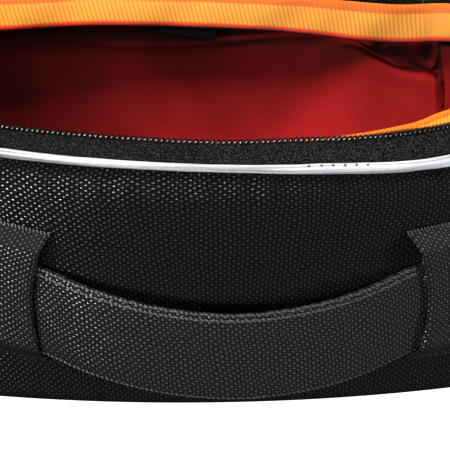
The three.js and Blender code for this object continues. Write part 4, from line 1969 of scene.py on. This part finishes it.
    def hinge(self) -> bpy.types.Object:
        """Builds the cloth strip that bends from the tub's seam to the lid's.

        Returns:
            The new piece.
        """
        straight = self.bend_radius * math.tan(self.open_angle / 2)
        turn = np.linspace(0, self.open_angle, self.bend_steps)
        bend = np.stack([
            self.hinge_y + self.bend_radius * (1 - np.cos(turn)),
            self.hinge_z - straight + self.bend_radius * np.sin(turn),
        ], axis=-1)
        start = np.array([[self.hinge_y, float(smooth_table(LEVELS, 1.0)[0]) + GAP]])
        along_lid = np.array([[math.sin(self.open_angle), math.cos(self.open_angle)]])
        end = np.array([[self.hinge_y, self.hinge_z]]) + along_lid * (self.seam - GAP - self.hinge_z)
        middle = np.concatenate([start, bend, end])
        slope = unit(np.gradient(middle, axis=0))
        normal = np.stack([-slope[:, 1], slope[:, 0]], axis=-1) * HINGE_STRIP / 2
        outline = np.concatenate([middle + normal, (middle - normal)[::-1]])
        reach = RIM.side - RIM.back_corner - self.hinge_clearance
        x = np.linspace(-reach, reach, self.hinge_stations)[:, None]
        points = np.broadcast_arrays(x, outline[:, 0], outline[:, 1])
        return loft("hinge_cloth", np.stack(points, axis=-1), ring=False)

    def build(self) -> None:
        """Builds and dresses the lid and its hinge."""
        nylon = WovenNylon()
        dress(self.side_panel(), nylon, Slot.NYLON, "lid_gusset")
        dress(self.top_panel(), nylon, Slot.NYLON, "lid_top")
        dress(self.tape(), KnittedTape(), Slot.ZIP_TAPE, "zip_tape_lid")
        dress(self.teeth(), CoilNylon(), Slot.COIL, "zip_coil_lid")
        dress(self.binding(), Grosgrain(), Slot.GROSGRAIN, "lid_binding")
        dress(self.hinge(), KnittedTape(), Slot.ZIP_TAPE, "hinge_strip")


@dataclass
class InnerLabel:
    """Plain cloth tag that hangs under the far binding."""

    x: float = -7.0
    z: float = 88.5
    width: float = 32.0
    height: float = 13.0
    thickness: float = 0.7
    tilt: float = math.radians(8.7)
    columns: int = 24
    rows: int = 10
    # Depth of the curl at its loose edge, and angle that it sweeps over the width
    curl: float = 0.5
    curl_sweep: float = 5.0

    def tag(self) -> bpy.types.Object:
        """Builds the tag with a slight curl.

        Returns:
            The new piece.
        """
        wide = np.linspace(-self.width / 2, self.width / 2, self.columns)[:, None]
        tall = np.linspace(-self.height / 2, self.height / 2, self.rows)[None, :]
        curl = self.curl * np.sin(wide / self.width * self.curl_sweep) * (tall / self.height - 0.5)
        x = self.x + wide * math.cos(self.tilt) + tall * math.sin(self.tilt)
        z = self.z - wide * math.sin(self.tilt) + tall * math.cos(self.tilt)
        y = RIM.back - LABEL_INSET - self.thickness + curl
        front = np.stack(np.broadcast_arrays(x, y, z), axis=-1)
        back = (front + np.array([0, self.thickness, 0]))[:, ::-1]
        return loft("inner_tag", np.concatenate([front, back], axis=1), ring=False)

    def build(self) -> None:
        """Builds and dresses the tag."""
        dress(self.tag(), LabelTape(), Slot.LABEL, "inner_label")


@dataclass
class Slider:
    """Zip slider parked at the zip's left end."""

    def build(self) -> None:
        """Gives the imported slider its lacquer."""
        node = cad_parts["zip_slider"]
        node.data.materials.clear()
        node.data.materials.append(BlackLacquer().material())
        LOG.info("zip_slider: lacquered")


class Lamp(NamedTuple):
    """Soft studio lamp: direction that it comes from, distance, width, height and power.

    One that doesn't fill only makes glints, and one without glints only lights surfaces evenly.
    """

    name: str
    azimuth: float
    elevation: float
    distance: float
    width: float
    height: float
    power: float
    fill: bool
    glints: bool


@dataclass
class Studio:
    """Camera, floor and light."""

    # The middle of the picture's scale lies on the front wall
    target: Triple = (0.0, -119.0, 45.0)
    azimuth: float = -3.0
    elevation: float = 18.0
    distance: float = 1500.0
    picture: int = 450
    scale: float = 0.36
    target_row: float = 293.75
    sensor: float = 36.0
    floor_reach: float = 4.0
    ambient: float = 0.03
    # Point that the lamps shine at
    lamp_aim: Triple = (0.0, -20.0, 80.0)
    lamps: tuple[Lamp, ...] = (
        Lamp("low_left_glints", -50, 6, 1.3, 0.4, 0.15, 54.0, False, True),
        Lamp("front_glints", -3, 30, 1.5, 0.3, 0.15, 22.0, False, True),
        Lamp("low_front_strip", -20, 2, 1.3, 0.8, 0.15, 15.0, True, False),
        Lamp("low_right_strip", 66, 2, 1.3, 0.5, 0.15, 14.0, True, False),
        Lamp("left_softbox", -72, 30, 1.3, 0.5, 0.4, 5.6, True, False),
        Lamp("top_softbox", 0, 88, 1.3, 0.5, 0.5, 29.0, True, False),
        Lamp("rear_softbox", 180, 22, 1.3, 0.5, 0.4, 26.0, True, True),
    )

    def direction(self, azimuth: float, elevation: float) -> Vector:
        """Unit vector towards a place round the bag; azimuth 0 is in front and 90 on the right."""
        a, e = math.radians(azimuth), math.radians(elevation)
        return Vector((math.sin(a) * math.cos(e), -math.cos(a) * math.cos(e), math.sin(e)))

    def camera(self) -> None:
        """Sets up the camera at the picture's viewing angle."""
        back = self.direction(self.azimuth, self.elevation)
        right = Vector((math.cos(math.radians(self.azimuth)), math.sin(math.radians(self.azimuth)), 0))
        up = back.cross(right)
        target = Vector(self.target) * MM
        data = bpy.data.cameras.new("camera")
        data.sensor_width = self.sensor
        data.lens = self.sensor * self.distance / (self.scale * self.picture)
        camera = bpy.data.objects.new("camera", data)
        camera.location = target + back * self.distance * MM
        aim = target + up * (self.target_row - self.picture / 2) * self.scale * MM
        camera.rotation_mode = "QUATERNION"
        camera.rotation_quaternion = (aim - camera.location).to_track_quat("-Z", "Y")
        bpy.context.scene.collection.objects.link(camera)
        bpy.context.scene.camera = camera

    def floor(self) -> None:
        """Lays the pale floor."""
        mesh = bpy.data.meshes.new("floor")
        r = self.floor_reach
        mesh.from_pydata([(-r, -r, 0), (r, -r, 0), (r, r, 0), (-r, r, 0)], [], [(0, 1, 2, 3)])
        floor = bpy.data.objects.new("floor", mesh)
        floor.data.materials.append(StudioFloor().material())
        bpy.context.scene.collection.objects.link(floor)
        # It shines white but throws no light back on the bag
        floor.visible_diffuse = False
        floor.visible_glossy = False

    def light(self) -> None:
        """Hangs the lamps and sets the even light of the room."""
        middle = Vector(self.lamp_aim) * MM
        for lamp in self.lamps:
            data = bpy.data.lights.new(lamp.name, "AREA")
            data.shape = "RECTANGLE"
            data.size, data.size_y = lamp.width, lamp.height
            data.energy = lamp.power
            # Only each lamp's own light counts, so the red lining throws no glow about
            data.cycles.max_bounces = 0
            source = bpy.data.objects.new(lamp.name, data)
            towards = self.direction(lamp.azimuth, lamp.elevation)
            source.location = middle + towards * lamp.distance
            source.visible_diffuse = lamp.fill
            source.visible_glossy = lamp.glints
            source.rotation_mode = "QUATERNION"
            source.rotation_quaternion = (-towards).to_track_quat("-Z", "Y")
            bpy.context.scene.collection.objects.link(source)
        world = bpy.data.worlds.new("room")
        world.use_nodes = True
        background = world.node_tree.nodes["Background"]
        background.inputs["Strength"].default_value = self.ambient
        background.inputs["Color"].default_value = (1, 1, 1, 1)
        bpy.context.scene.world = world
        bpy.context.scene.view_settings.view_transform = "Standard"

    def build(self) -> None:
        """Sets up the whole studio."""
        self.camera()
        self.floor()
        self.light()


def main() -> None:
    """Builds the bag and its studio in order."""
    logging.basicConfig(level=logging.INFO, format="%(message)s")
    Studio().build()
    assemblies = (
        Tub(),
        Lining(),
        Seam(),
        Strap(),
        Tab("handle_tab_left", Side.LEFT, inner=63.5, low=17.0, high=66.0, rise=0.14, waist=4.5),
        Tab("handle_tab_right", Side.RIGHT, inner=67.5, low=15.0, high=64.0, rise=0.07, waist=5.5),
        Lid(),
        InnerLabel(),
        Slider(),
    )
    for assembly in assemblies:
        assembly.build()


if __name__ == "__main__":
    main()
